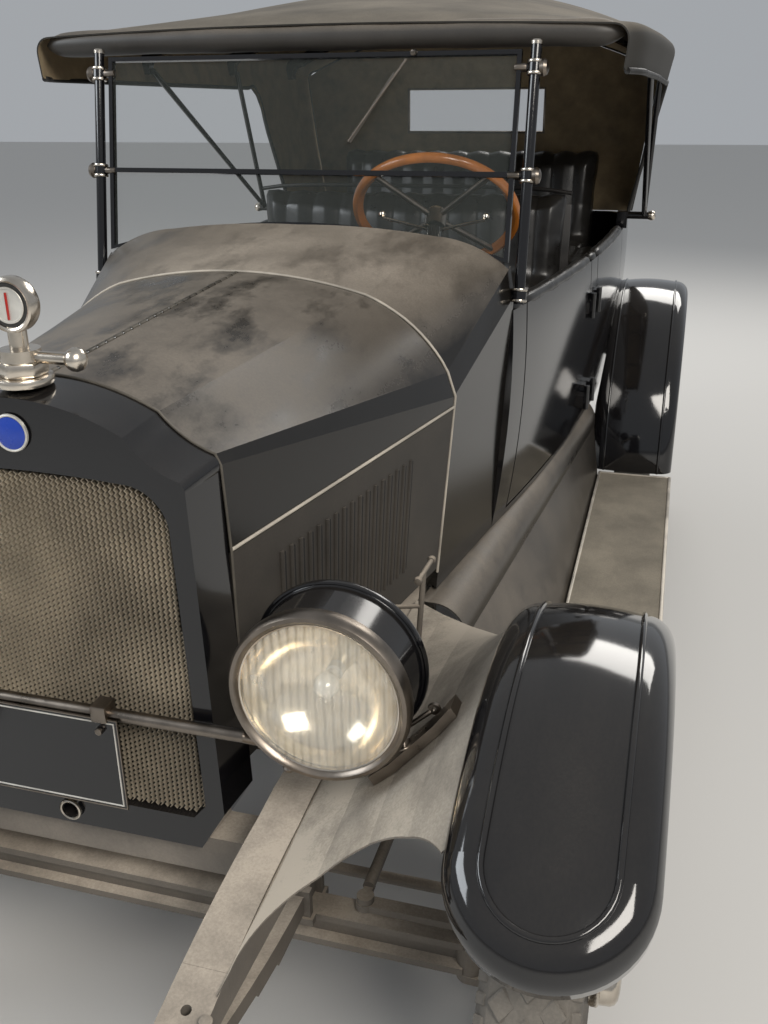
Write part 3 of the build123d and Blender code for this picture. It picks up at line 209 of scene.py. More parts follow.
def flutedGlass(name, tone, clear):
    # pressed upright flutes with a coarse sparkle
    finish, tree, shader = newMaterial(name)
    where = objectPlace(tree)
    wave = tree.nodes.new("ShaderNodeTexWave")
    wave.inputs["Scale"].default_value = 28.0
    wave.inputs["Distortion"].default_value = 1.2
    wave.inputs["Detail"].default_value = 1.0
    tree.links.new(where, wave.inputs["Vector"])
    cloud = noise(tree, where, 38.0, 3.0)
    relief = maths(tree, "ADD", wave.outputs["Fac"], cloud)
    bump(tree, shader, relief, 0.9, 0.004)
    tree.links.new(ramp(tree, cloud, [(0.3, clear), (0.7, clear + 0.16)]), shader.inputs["Alpha"])
    shader.inputs["Base Color"].default_value = (*tone, 1)
    shader.inputs["Roughness"].default_value = 0.08
    return finish


dustyFinishes = {
    "blackPaint": dict(tone=(0.004, 0.004, 0.005), rough=0.10, dust=0.035, floor=0.002, coat=0.2),
    "fenderPaint": dict(tone=(0.004, 0.004, 0.005), rough=0.07, dust=0.035, floor=0.002, patch=9,
                        streak=7.0, coat=0.3),
    "hoodPaint": dict(tone=(0.008, 0.007, 0.006), rough=0.2, dust=0.42, floor=0.006, low=0.42, high=1.0,
                      patch=4.5, smudge=0.8),
    "cowlPaint": dict(tone=(0.008, 0.007, 0.006), rough=0.16, dust=0.66, floor=0.004, low=0.55, high=1.0,
                      patch=3.5, smudge=0.45),
    "sidePaint": dict(tone=(0.010, 0.009, 0.008), rough=0.55, dust=0.1, floor=0.10, patch=5),
    "apronPaint": dict(tone=(0.03, 0.027, 0.024), rough=0.45, dust=0.95, floor=0.35,
                       dustyTone=(0.50, 0.44, 0.36), patch=6, smudge=0.3),
    "splashPaint": dict(tone=(0.010, 0.009, 0.008), rough=0.25, dust=0.40, floor=0.05, low=0.1, high=0.9,
                        patch=5, smudge=0.35),
    "hornDust": dict(tone=(0.05, 0.045, 0.04), rough=0.5, dust=0.8, floor=0.3,
                     dustyTone=(0.45, 0.39, 0.32), patch=8),
    "chassisPaint": dict(tone=(0.04, 0.035, 0.03), rough=0.55, dust=0.7, floor=0.25, patch=9),
    "tyreRubber": dict(tone=(0.035, 0.033, 0.031), rough=0.7, dust=0.3, floor=0.30,
                       dustyTone=(0.30, 0.27, 0.23), patch=12),
    "woodBlack": dict(tone=(0.015, 0.014, 0.013), rough=0.35, dust=0.3, floor=0.15),
    "topCloth": dict(tone=(0.016, 0.015, 0.013), rough=0.85, dust=0.42, floor=0.02,
                     dustyTone=(0.36, 0.31, 0.24), low=0.35, high=1.0, patch=5),
    "rollHide": dict(tone=(0.018, 0.017, 0.016), rough=0.42, dust=0.35, floor=0.05, patch=6),
    "boardMat": dict(tone=(0.05, 0.045, 0.038), rough=0.7, dust=0.50, floor=0.22,
                     dustyTone=(0.34, 0.30, 0.235), patch=5, smudge=0.15),
}
plainFinishes = {
    # near-black finish of the louvre rods: painted shade in the louvre openings
    "louvreShadePaint": dict(tone=(0.008, 0.007, 0.006), rough=0.7),
    "nickel": dict(tone=(0.62, 0.56, 0.48), rough=0.22, metal=1.0),
    "darkNickel": dict(tone=(0.22, 0.19, 0.16), rough=0.32, metal=1.0),
    "mirrorBowl": dict(tone=(0.90, 0.80, 0.62), rough=0.16, metal=1.0, patch=30, change=0.1),
    "paleMetal": dict(tone=(0.62, 0.60, 0.55), rough=0.4, metal=0.6),
    "paleStrip": dict(tone=(0.42, 0.38, 0.32), rough=0.55, metal=0.2, patch=12, change=0.35),
    "dullStrip": dict(tone=(0.09, 0.08, 0.065), rough=0.5, metal=0.3, patch=14, change=0.5),
    "boardMetal": dict(tone=(0.48, 0.44, 0.38), rough=0.5, metal=0.5, patch=10, change=0.35),
    "coreTin": dict(tone=(0.44, 0.38, 0.29), rough=0.5, metal=0.55, patch=6, change=0.35),
    "coreMetal": dict(tone=(0.03, 0.026, 0.02), rough=0.8),
    "badgeBlue": dict(tone=(0.012, 0.045, 0.32), rough=0.25, change=0.12),
    "dialDark": dict(tone=(0.03, 0.03, 0.028), rough=0.3),
    "redGlass": dict(tone=(0.32, 0.015, 0.01), rough=0.15, change=0.2),
    "bulbGlass": dict(tone=(0.85, 0.83, 0.75), rough=0.1, metal=0.2, change=0.05),
    "varnishedWood": dict(tone=(0.36, 0.12, 0.02), rough=0.18),
    "floorWood": dict(tone=(0.16, 0.11, 0.07), rough=0.8),
    "leather": dict(tone=(0.016, 0.015, 0.014), rough=0.33, patch=34, grit=0.16),
    "leatherFlat": dict(tone=(0.018, 0.016, 0.015), rough=0.42, patch=18, grit=0.14),
    "topBinding": dict(tone=(0.012, 0.011, 0.010), rough=0.55, grit=0.2),
    "tanCanvas": dict(tone=(0.30, 0.23, 0.14), rough=0.9, grit=0.2),
    "rustySteel": dict(tone=(0.13, 0.08, 0.05), rough=0.8),
}
finishes = {name: dustyPaint(name, **look) for name, look in dustyFinishes.items()}
finishes.update((name, plainFinish(name, **look)) for name, look in plainFinishes.items())
finishes["clearGlass"] = glassFinish("clearGlass", tone=(0.16, 0.18, 0.17), clear=0.08, rough=0.02)
finishes["lensGlass"] = flutedGlass("lensGlass", tone=(0.85, 0.82, 0.74), clear=0.16)

# the finish of each of the record's material slots, and the nodes that differ from their slot
slotFinish = {"black_paint": "blackPaint", "chassis_paint": "chassisPaint", "nickel": "nickel",
              "core_metal": "coreMetal", "rubber": "tyreRubber", "wood_black": "woodBlack",
              "varnished_wood": "varnishedWood", "floor_wood": "floorWood", "leather": "leather",
              "top_cloth": "topCloth", "clear_glass": "clearGlass", "lens_glass": "lensGlass",
              "board_mat": "boardMat", "rusty_steel": "rustySteel"}
nodeFinish = {"front_fenders": "fenderPaint", "rear_fenders": "fenderPaint", "hood_top_left": "hoodPaint",
              "hood_top_right": "hoodPaint", "hood_side_left": "sidePaint", "hood_side_right": "sidePaint",
              "cowl": "cowlPaint", "fender_aprons": "apronPaint", "splash_aprons": "splashPaint",
              "chassis_frame": "hornDust", "lamp_bar": "darkNickel", "steering_spider": "darkNickel"}


def paint(obj, finish):
    if not obj.material_slots:
        obj.data.materials.append(finishes[finish])
    for held in obj.material_slots:
        held.material = finishes[finish]


for part in frame["record"]["subparts"]:
    paint(frame["nodes"][part["node"]], nodeFinish.get(part["node"], slotFinish[part["material_slot"]]))
print("nodes painted")


# shaping helpers: places are in millimetres of the car, behind the front axle and above the ground

def at(x, y, z):
    return Vector((x, y - middle, z)) / 1000


def reshape(obj, mode="VERT"):
    choose(obj)
    bpy.ops.object.mode_set(mode="EDIT")
    bpy.ops.mesh.select_mode(type=mode)
    bpy.ops.mesh.select_all(action="SELECT")


def modify(obj, kind, **settings):
    choose(obj)
    bpy.ops.object.modifier_add(type=kind)
    modifier = obj.modifiers[-1]
    for key, value in settings.items():
        setattr(modifier, key, value)
    bpy.ops.object.modifier_apply(modifier=modifier.name)


def settle(obj, name, finish, body="root", smooth=35):
    # a finished piece: its place in its mesh, its name, finish, body and slot
    choose(obj)
    bpy.ops.object.transform_apply(location=True, rotation=True, scale=True)
    if smooth:
        bpy.ops.object.shade_smooth_by_angle(angle=radians(smooth))
    obj.name = name
    obj.data.name = name
    if finish:
        paint(obj, finish)
    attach(obj, body)


def gather(parts):
    deselect()
    for part in parts:
        part.select_set(True)
    bpy.context.view_layer.objects.active = parts[0]
    bpy.ops.object.join()
    return bpy.context.object


def boxBetween(low, high, bevel=0.0):
    a, b = at(*low), at(*high)
    deselect()
    bpy.ops.mesh.primitive_cube_add(size=1, location=(a + b) / 2)
    obj = bpy.context.object
    reshape(obj, "EDGE")
    bpy.ops.transform.resize(value=tuple(abs(c) for c in b - a))
    if bevel:
        bpy.ops.mesh.bevel(offset=bevel / 1000, segments=2, affect="EDGES")
    leaveEdit()
    return obj


def rodBetween(start, end, radius, sides=16, bevel=0.0):
    a, b = at(*start), at(*end)
    way = b - a
    deselect()
    bpy.ops.mesh.primitive_cylinder_add(vertices=sides, radius=radius / 1000, depth=way.length,
                                        location=(a + b) / 2, rotation=way.to_track_quat("Z", "Y").to_euler())
    obj = bpy.context.object
    if bevel:
        reshape(obj, "EDGE")
        bpy.ops.mesh.select_all(action="DESELECT")
        bpy.ops.mesh.edges_select_sharp(sharpness=radians(50))
        bpy.ops.mesh.bevel(offset=bevel / 1000, segments=2, affect="EDGES")
        leaveEdit()
    return obj


def lathed(outline, place, aim=(0, 1, 0), steps=48):
    # a ring drawn out along its axis: the outline is (distance, radius)
    thinnest = 0.05
    deselect()
    bpy.ops.mesh.primitive_circle_add(vertices=steps, radius=max(outline[0][1], thinnest) / 1000)
    obj = bpy.context.object
    reshape(obj)
    bpy.ops.transform.translate(value=(0, 0, outline[0][0] / 1000))
    for (d0, r0), (d1, r1) in zip(outline, outline[1:]):
        bpy.ops.mesh.extrude_region()
        bpy.ops.transform.translate(value=(0, 0, (d1 - d0) / 1000))
        share = max(r1, thinnest) / max(r0, thinnest)
        bpy.ops.transform.resize(value=(share, share, 1))
    finishEdit(0.0002)
    turn = Vector(aim).to_track_quat("Z", "Y").to_matrix().to_4x4()
    obj.matrix_world = Matrix.Translation(at(*place)) @ turn
    return obj


def wired(points, radius, closed=False, smooth=True):
    # a round wire, bead or roll through points
    curve = bpy.data.curves.new("wire", "CURVE")
    curve.dimensions = "3D"
    line = curve.splines.new("BEZIER")
    line.bezier_points.add(len(points) - 1)
    for knot, place in zip(line.bezier_points, points):
        knot.co = at(*place)
        knot.handle_left_type = knot.handle_right_type = "AUTO" if smooth else "VECTOR"
    line.use_cyclic_u = closed
    curve.resolution_u = 4 if smooth else 1
    curve.bevel_depth = radius / 1000
    curve.bevel_resolution = 3
    curve.use_fill_caps = not closed
    obj = bpy.data.objects.new("wire", curve)
    bpy.context.collection.objects.link(obj)
    choose(obj)
    bpy.ops.object.convert(target="MESH")
    return bpy.context.object


def borderRing(left, right, front, low, high, radius):
    # a square border that faces forward
    corners = [(left, front, low), (right, front, low), (right, front, high), (left, front, high)]
    return wired(corners, radius, closed=True, smooth=False)


def bothHalves(line):
    # a line from the middle out to the left, with its mirrored half before it
    return [(-x, y, z) for x, y, z in line[:0:-1]] + line


def bent(path, steps=6):
    # plain points for a path of corners (x, z) and arcs (x, z, viaX, viaZ)
    points = [path[0][:2]]
    for corner in path[1:]:
        if len(corner) == 2:
            points.append(corner)
            continue
        (ax, az), (cx, cz), (bx, bz) = points[-1], corner[:2], corner[2:]
        d = 2 * (ax * (bz - cz) + bx * (cz - az) + cx * (az - bz))
        sa, sb, sc = ax * ax + az * az, bx * bx + bz * bz, cx * cx + cz * cz
        ux = (sa * (bz - cz) + sb * (cz - az) + sc * (az - bz)) / d
        uz = (sa * (cx - bx) + sb * (ax - cx) + sc * (bx - ax)) / d
        r, first, last = hypot(ax - ux, az - uz), atan2(az - uz, ax - ux), atan2(cz - uz, cx - ux)
        middleAngle = atan2(bz - uz, bx - ux)
        turn = (last - first) % (2 * pi)
        if not (middleAngle - first) % (2 * pi) <= turn:
            turn -= 2 * pi
        points += [(ux + r * cos(first + turn * i / steps), uz + r * sin(first + turn * i / steps))
                   for i in range(1, steps + 1)]
    return points


def gridSheet(rows):
    # a sheet of rows of points, drawn over a primitive grid
    tall, wide = len(rows), len(rows[0])
    deselect()
    bpy.ops.mesh.primitive_grid_add(x_subdivisions=wide - 1, y_subdivisions=tall - 1, size=1)
    obj = bpy.context.object
    for v in obj.data.vertices:
        column, row = round((v.co.x + 0.5) * (wide - 1)), round((v.co.y + 0.5) * (tall - 1))
        v.co = at(*rows[row][column])
    reshape(obj)
    finishEdit(0.00005)
    return obj


def stuffedTube(rings):
    # a roll drawn over rings of points, with closed and rounded ends
    piece = gridSheet(rings)
    reshape(piece)
    bpy.ops.mesh.select_all(action="DESELECT")
    bpy.ops.mesh.select_non_manifold()
    bpy.ops.mesh.edge_face_add()
    finishEdit()
    modify(piece, "SUBSURF", levels=1, render_levels=1)
    return piece


def cutAway(obj, kind, chosen):
    # deletes the points or faces that are chosen in their order
    reshape(obj, kind)
    bpy.ops.mesh.select_all(action="DESELECT")
    leaveEdit()
    (obj.data.vertices if kind == "VERT" else obj.data.polygons).foreach_set("select", chosen)
    bpy.ops.object.mode_set(mode="EDIT")
    bpy.ops.mesh.delete(type=kind)
    leaveEdit()


def faceTowards(obj, axis):
    # turns a sheet's faces over where most of them look away from the axis
    if sum(face.normal[axis] * face.area for face in obj.data.polygons) < 0:
        reshape(obj)
        bpy.ops.mesh.flip_normals()
        leaveEdit()


def copyOf(node):
    # a merged copy of a CAD piece's mesh, to be stuffed
    made = bpy.data.objects.new("copy", frame["nodes"][node].data.copy())
    bpy.context.collection.objects.link(made)
    reshape(made)
    bpy.ops.mesh.remove_doubles(threshold=0.00002)
    leaveEdit()
    return made


def flipped(obj):
    # the same piece for the car's other side
    other = obj.copy()
    other.data = obj.data.copy()
    bpy.context.collection.objects.link(other)
    reshape(other)
    bpy.ops.transform.mirror(constraint_axis=(True, False, False), center_override=(0, 0, 0))
    bpy.ops.mesh.flip_normals()
    leaveEdit()
    return other


def pair(left, name, finish, body="root", smooth=35):
    # settles a left piece and its twin on the car's other side
    right = flipped(left)
    for piece, word in ((left, "left"), (right, "right")):
        sideName = name + (word if name.endswith(".") else word.title())
        settle(piece, sideName, finish, body + word if body.endswith("_") else body, smooth)


# half width of the body at its belt: its greatest, the radius of its sweep, and where it is widest
belt = {"half": 610, "sweep": 8200, "widest": 2500}


def bodyHalf(y):
    return belt["half"] - belt["sweep"] + sqrt(belt["sweep"] ** 2 - (belt["widest"] - y) ** 2)


# radiator: fine honeycomb, badge disc, crank ring, cap and dial; outlines are (distance, radius)
core = {"pitch": 7.6, "rise": 3.9, "wall": 1.0, "deep": 8, "front": -49, "half": 222, "low": 566,
        "high": 1080, "margin": 2, "corner": 62, "taper": 14, "foot": 24, "chamfer": 20}
badge = {"place": (0, -58, 1131), "disc": [(0, 0), (0, 21), (-1.4, 22), (-2, 21), (-2, 0)],
         "rim": [(0, 21.4), (-2.6, 22), (-3.2, 23.4), (-2.6, 24.8), (0, 25.4), (0, 21.4)]}
crank = {"place": (0, -59, 541), "ring": [(0, 13.2), (-3, 13.6), (-4, 15.5), (-3, 17.4), (0, 18)]}
cap = {"y": -15, "collar": (1184, 1196, 38), "hexagon": (1197, 1215, 33), "knobReach": 79, "knobLevel": 1220,
       "knob": [(-14, 0), (-13.5, 6), (-9, 12), (-3, 15), (3, 15.5), (9, 13), (13, 8), (14.6, 0)]}
dial = {"level": 1286, "faceAt": -24.4, "rimAt": -24, "bandAt": -26.4,
        "face": [(0, 0), (0, 26), (-1, 27.5), (-1, 0)],
        "band": [(0, 0), (0, 20), (-1, 20.6), (-1, 22.4), (0, 23)],
        "rim": [(0, 27.5), (-3, 28.5), (-4.4, 31), (-3, 34), (0, 35), (14, 35), (17, 33.8), (18.4, 31),
                (17, 28)],
        "tube": ((-1.5, -28.2, 1268), (1.5, -26.4, 1302))}


def insideCore(x, z):
    half, high = (core[key] - core["margin"] for key in ("half", "high"))
    low = core["low"] + core["margin"]
    foot, corner = low + core["foot"], core["corner"]
    x = abs(x)
    side = half if z < foot else half - core["taper"] * (z - foot) / (high - corner - foot)
    if x > side or z > high or z < low or x - (half - core["chamfer"]) > z - low:
        return False
    shoulder = half - core["taper"] - corner
    return not (z > high - corner and x > shoulder and hypot(x - shoulder, z - high + corner) > corner)


def makeCore():
    # two zigzag ribbons make a column of cells, repeated across the core and cut to its outline
    rows = int((core["high"] - core["low"]) / core["rise"])
    deselect()
    bpy.ops.mesh.primitive_grid_add(x_subdivisions=1, y_subdivisions=rows, size=1)
    ribbon = bpy.context.object
    tall = rows * core["rise"]
    for v in ribbon.data.vertices:
        row = round((v.co.y + 0.5) * rows)
        swing = core["pitch"] / 4 * (1 if row % 2 else -1)
        v.co = (swing / 1000, v.co.x * core["deep"] / 1000, v.co.y * tall / 1000)
    twin = ribbon.copy()
    twin.data = ribbon.data.copy()
    bpy.context.collection.objects.link(twin)
    for v in twin.data.vertices:
        v.co.x = core["pitch"] / 1000 - v.co.x
    ribbon = gather([ribbon, twin])
    count = int(core["half"] / core["pitch"]) + 1
    modify(ribbon, "ARRAY", count=count, use_relative_offset=False, use_constant_offset=True,
           constant_offset_displace=(core["pitch"] * 2 / 1000, 0, 0))
    middleZ = (core["high"] + core["low"]) / 2
    shift = at(-core["pitch"] * (count - 0.5), core["front"] + core["deep"] / 2, middleZ)
    for v in ribbon.data.vertices:
        v.co += shift
    cutAway(ribbon, "VERT", [not insideCore(v.co.x * 1000, v.co.z * 1000) for v in ribbon.data.vertices])
    modify(ribbon, "SOLIDIFY", thickness=core["wall"] / 1000, offset=0)
    settle(ribbon, "coreCells", "coreTin", smooth=0)


def makeCapAndDial():
    for name, (low, high, radius), sides, bevel in (("capCollar", cap["collar"], 40, 3),
                                                    ("capHex", cap["hexagon"], 6, 2.5)):
        barrel = rodBetween((0, cap["y"], low), (0, cap["y"], high), radius, sides, bevel)
        settle(barrel, name, "nickel")
    settle(lathed(dial["face"], (0, dial["faceAt"], dial["level"])), "dialFace", "dialDark")
    settle(lathed(dial["rim"], (0, dial["rimAt"], dial["level"])), "dialRim", "nickel")
    settle(lathed(dial["band"], (0, dial["bandAt"], dial["level"])), "dialBand", "paleMetal")
    settle(boxBetween(*dial["tube"], 0.6), "dialTube", "redGlass")
    for side, word in ((-1, "Right"), (1, "Left")):
        knob = lathed(cap["knob"], (side * cap["knobReach"], cap["y"], cap["knobLevel"]), (side, 0, 0), 32)
        settle(knob, "capKnob" + word, "nickel")


makeCore()
settle(lathed(badge["disc"], badge["place"]), "badgeDisc", "badgeBlue")
settle(lathed(badge["rim"], badge["place"]), "badgeRim", "paleMetal")
settle(lathed(crank["ring"], crank["place"]), "crankRing", "nickel")
makeCapAndDial()
print("radiator made")

# hood: laced seams at cowl and shell, centre hinge, fold strips, dark rods in the louvre mouths as painted
# shade, and clamps
hood = {"foldFront": (248, 34, 955), "foldRear": (419, 660, 985), "lace": 2.6, "knuckles": 25, "hinge": 4.6,
        "ridgeFront": (34, 1182.6), "ridgeRun": (626, 32)}
cowlFront = [(0, 1216), (250, 1183, 125, 1208), (405, 1050, 337, 1132), (420, 1005), (390, 640)]
shellRear = [(0, 1184), (160, 1144, 80, 1174), (236, 1092, 195, 1112), (243, 1078), (249, 955), (250, 615)]
louvre = {"count": 17, "pitch": 23.2, "first": 148.5, "high": (905, 0.054), "low": (694, 0.05), "radius": 3.4}
# a hood side's corners at front and rear: top half width and height, low half width and height
hoodSide = {"start": 29, "run": 636, "top": ((248, 955), (171, 30)), "low": ((249, 615), (143, 35))}
clamp = {"foot": ((400, 378, 606), (436, 422, 618)),
         "rods": [((418, 400, 612), (424, 416, 764), 5, 12, 1),
                  ((424, 380, 764), (428, 458, 766), 4.4, 12, 1.5),
                  ((352, 404, 690), (421, 408, 700), 4, 12, 1)],
         "ends": [(424, 378, 764), (428, 460, 766)], "end": [(-7, 0), (-5, 6), (0, 8), (5, 6), (7, 0)]}


def makeHoodTrim():
    seam = [(x + (1.5 if z < 1150 else 0.6), 664.5, z + (1.5 if z > 1060 else 0))
            for x, z in bent(cowlFront, 10)]
    settle(wired(bothHalves(seam), hood["lace"], smooth=False), "cowlLace", "paleStrip")
    seam = [(x + 1.5, 31, z + (1.2 if z > 1080 else 0)) for x, z in bent(shellRear, 8)]
    settle(wired(bothHalves(seam), 2.0, smooth=False), "shellLace", "dullStrip")
    for side, word in ((1, "left"), (-1, "right")):
        ends = [(side * (x + 1), y, z + 0.5) for x, y, z in (hood["foldFront"], hood["foldRear"])]
        settle(wired(ends, hood["lace"], smooth=False), "foldStrip." + word, "paleStrip", "hood_top_" + word)
    knuckles = []
    for i in range(hood["knuckles"]):
        share = (i + 0.5) / hood["knuckles"]
        y, z = (start + run * share for start, run in zip(hood["ridgeFront"], hood["ridgeRun"]))
        knuckles.append(rodBetween((0, y - 10, z - 0.5), (0, y + 10, z + 0.5), hood["hinge"], 10, 0.8))
    settle(gather(knuckles), "hingeKnuckles", "dullStrip")


def sideHalf(y, z):
    # half width at the outer face of the hood's side
    share = (y - hoodSide["start"]) / hoodSide["run"]
    (topX, topZ), (lowX, lowZ) = (tuple(a + b * share for a, b in zip(*hoodSide[edge]))
                                  for edge in ("top", "low"))
    return lowX + (topX - lowX) * (z - lowZ) / (topZ - lowZ)


def makeLouvreShadeRods():
    # a near-black rod just inside each louvre's mouth: painted shade standing in for the shaded opening
    shadeRods = []
    for i in range(louvre["count"]):
        run = i * louvre["pitch"]
        y = louvre["first"] + run
        ends = [(sideHalf(y, z) - 1.4, y, z)
                for z in (start + rise * run for start, rise in (louvre["low"], louvre["high"]))]
        shadeRods.append(rodBetween(*ends, louvre["radius"], 8, 0.6))
    return gather(shadeRods)


def makeClamp():
    parts = [boxBetween(*clamp["foot"], 2)]
    parts += [rodBetween(*rod) for rod in clamp["rods"]]
    parts += [lathed(clamp["end"], place, steps=16) for place in clamp["ends"]]
    return gather(parts)


makeHoodTrim()
# the louvre rods are painted shade: dark pieces set where the openings are only shaded
pair(makeLouvreShadeRods(), "louvreShadeRods", "louvreShadePaint", "hood_side_")
pair(makeClamp(), "hoodClamp", "chassisPaint")
print("hood trim made")

# headlamps: nickel rim, bright bowl and bulb behind the fluted lens; outlines are (distance, radius)
lamp = {"place": (409, -80, 820), "studAt": (361, -72, 692),
        "rim": [(0, 106), (-8, 109), (-11, 113), (-10, 118), (-5, 121.4), (4, 122), (13, 121), (15, 118.6),
                (15, 112)],
        "ring": [(-1, 104), (-5, 105), (-6, 107), (-4, 109.5), (0, 110)],
        "bowl": [(2, 105), (12, 103), (28, 95), (44, 82), (58, 64), (68, 44), (74, 26), (75, 14), (75, 0)],
        "bulb": [(76, 12), (60, 12), (58, 9), (48, 9), (40, 15), (30, 17), (20, 14), (14, 7), (12, 0)],
        "bead": [(86, 116), (84, 119), (85, 121.4), (89, 122.4), (93, 121.4), (94, 119), (92, 116)],
        "stud": [(0, 0), (2, 7), (7, 9), (12, 6), (14, 0)]}
# the lamp bracket's two bolts, their washers and its tie: start, end, radius, sides, bevel
bracket = {"rods": [((509, -36, 728), (506, -27, 741), 9.5, 6, 1.5),
                    ((545, -34, 751), (542, -25, 764), 9.5, 6, 1.5),
                    ((509, -36, 731), (508, -35, 734), 13, 20, 0.6),
                    ((545, -34, 754), (544, -33, 757), 13, 20, 0.6),
                    ((494, -8, 735), (536, 4, 768), 3.6, 10, 0.8)],
           "eyeAt": (540, 5, 772),
           "eye": [(-3, 3.5), (-3, 8), (0, 9.4), (3, 8), (3, 3.5), (0, 2.6), (-3, 3.5)]}
# the round pieces of a lamp: name, outline, steps, finish and slot
lampPieces = [("lampRim", "rim", 64, "darkNickel", "nickel"), ("lensRing", "ring", 64, "nickel", None),
              ("lampBowl", "bowl", 64, "mirrorBowl", None), ("lampBulb", "bulb", 24, "bulbGlass", None),
              ("lampBead", "bead", 64, "blackPaint", "black_paint")]


def makeLamp(side, word):
    x, y, z = lamp["place"]
    for name, outline, steps, finish, slot in lampPieces:
        settle(lathed(lamp[outline], (side * x, y, z), steps=steps), name + word, finish)
    x, y, z = lamp["studAt"]
    settle(lathed(lamp["stud"], (side * x, y, z), (0, 0, 1), 16), "lampStud" + word, "darkNickel")


makeLamp(-1, "Right")
makeLamp(1, "Left")
bracketBits = [rodBetween(*rod) for rod in bracket["rods"]]
bracketBits.append(lathed(bracket["eye"], bracket["eyeAt"], steps=20))
pair(gather(bracketBits), "bracketBolts", "darkNickel")
print("lamps made")

# plate: pale raised border and clips, and the rivet on each horn
plate = {"left": -190, "right": 114, "front": -84.3, "low": 585, "high": 733, "inset": 5, "clips": (-164, 88)}
rivet = {"place": (365, -363), "low": 549, "high": 566, "radius": 9}


def plateRing(inset, front, radius):
    return borderRing(plate["left"] + inset, plate["right"] - inset, front, plate["low"] + inset,
                      plate["high"] - inset, radius)


settle(plateRing(plate["inset"], plate["front"], 1.6), "plateBorder", "paleMetal")
settle(plateRing(0, plate["front"] + 1, 2.0), "plateEdge", "darkNickel")
for x, word in zip(plate["clips"], ("Right", "Left")):
    clip = [boxBetween((x - 12, -88, 728), (x + 12, -58, 754), 2.5),
            rodBetween((x, -92, 716), (x, -84, 716), 6, 6, 1)]
    settle(gather(clip), "plateClip" + word, "darkNickel")
rivets = []
for side in (-1, 1):
    x, y = side * rivet["place"][0], rivet["place"][1]
    rivets.append(rodBetween((x, y, rivet["low"]), (x, y, rivet["high"]), rivet["radius"], 18, 3))
settle(gather(rivets), "hornRivets", "hornDust")

# windscreen: collars, side knobs and hand wiper; a rise is measured along the leaning posts
screen = {"lean": 10.8, "post": 484, "foot": (1000, 1193), "collars": (-60, 176, 380), "collar": 16.5,
          "knobs": (176, 380), "knob": [(0, 8), (6, 9), (10, 15), (18, 17), (24, 14), (27, 7), (28, 0)],
          "tip": [(0, 12), (6, 12.5), (9, 10), (11, 0)], "tipAt": 422}
wiper = {"arm": ((237, 408, 16), (225, 396, 20), (107, 238, 18)), "pivot": (240, 412, 4),
         "blade": ((199, 372, 8), (107, 238, 8))}


def onScreen(x, rise, out=0.0):
    # a point of the leaning screen, and so far in front of it
    lean = radians(screen["lean"])
    y, z = screen["foot"]
    return (x, y + rise * sin(lean) - out * cos(lean), z + rise * cos(lean) + out * sin(lean))


def makeScreenTrim():
    bright, dark = [], []
    lean = radians(screen["lean"])
    for side in (-1, 1):
        x = side * screen["post"]
        for rise in screen["collars"]:
            for band in ((-14, -8), (8, 14)):
                ends = [onScreen(x, rise + step) for step in band]
                bright.append(rodBetween(*ends, screen["collar"], 24, 1.5))
        for rise in screen["knobs"]:
            dark.append(lathed(screen["knob"], onScreen(x, rise), (side, 0, 0), 20))
            ends = [onScreen(x - side * inward, rise, 4) for inward in (40, 16)]
            dark.append(rodBetween(*ends, 8, 6, 1.5))
        bright.append(lathed(screen["tip"], onScreen(x, screen["tipAt"]), (0, sin(lean), cos(lean)), 24))
    settle(gather(bright), "screenCollars", "nickel")
    settle(gather(dark), "screenKnobs", "darkNickel")
    start, knee, tip = (onScreen(*place) for place in wiper["arm"])
    arm = [rodBetween(knee, tip, 2.4, 8), rodBetween(onScreen(*wiper["pivot"]), start, 6, 12, 1)]
    settle(gather(arm), "wiperArm", "darkNickel")
    rubber = wired([onScreen(*place) for place in wiper["blade"]], 3.4, smooth=False)
    settle(rubber, "wiperBlade", "tyreRubber")


makeScreenTrim()
print("windscreen trim made")

# wheels: non-skid tread, hub caps and bolts; a tread row is (x, shift in pitches, top)
tread = {"count": 46, "rows": ((0, 0.0, 369.2), (-28, 0.5, 367.0), (28, 0.5, 367.0)), "stud": (19.5, 10),
         "studShape": (0.86, 1.02, 1), "bar": 12, "barShape": (1.3, 1.15, 1.0), "barsAt": (50, 347.5),
         "barLean": 38}
wheel = {"half": 712.5, "axle": 368,
         "hubCap": [(60, 37), (64, 39), (72, 39), (75, 35), (90, 34), (96, 31), (100, 25), (102, 14),
                    (102.6, 0)]}
# rings of six bolts: ring radius, shift in pitches, start and end outwards, bolt radius
boltRings = ((60, 0.0, (22, 32), 7), (243, 0.5, (20, 34), 9))
wheelPlaces = {"front_left": (1, 0), "front_right": (-1, 0), "rear_left": (1, 2590), "rear_right": (-1, 2590)}
spareWheel = (0, 3120, 800)


def cutStud(obj, shape, bevel):
    reshape(obj, "EDGE")
    bpy.ops.transform.resize(value=shape)
    bpy.ops.mesh.bevel(offset=bevel / 1000, segments=1, affect="EDGES")
    leaveEdit()
    return obj


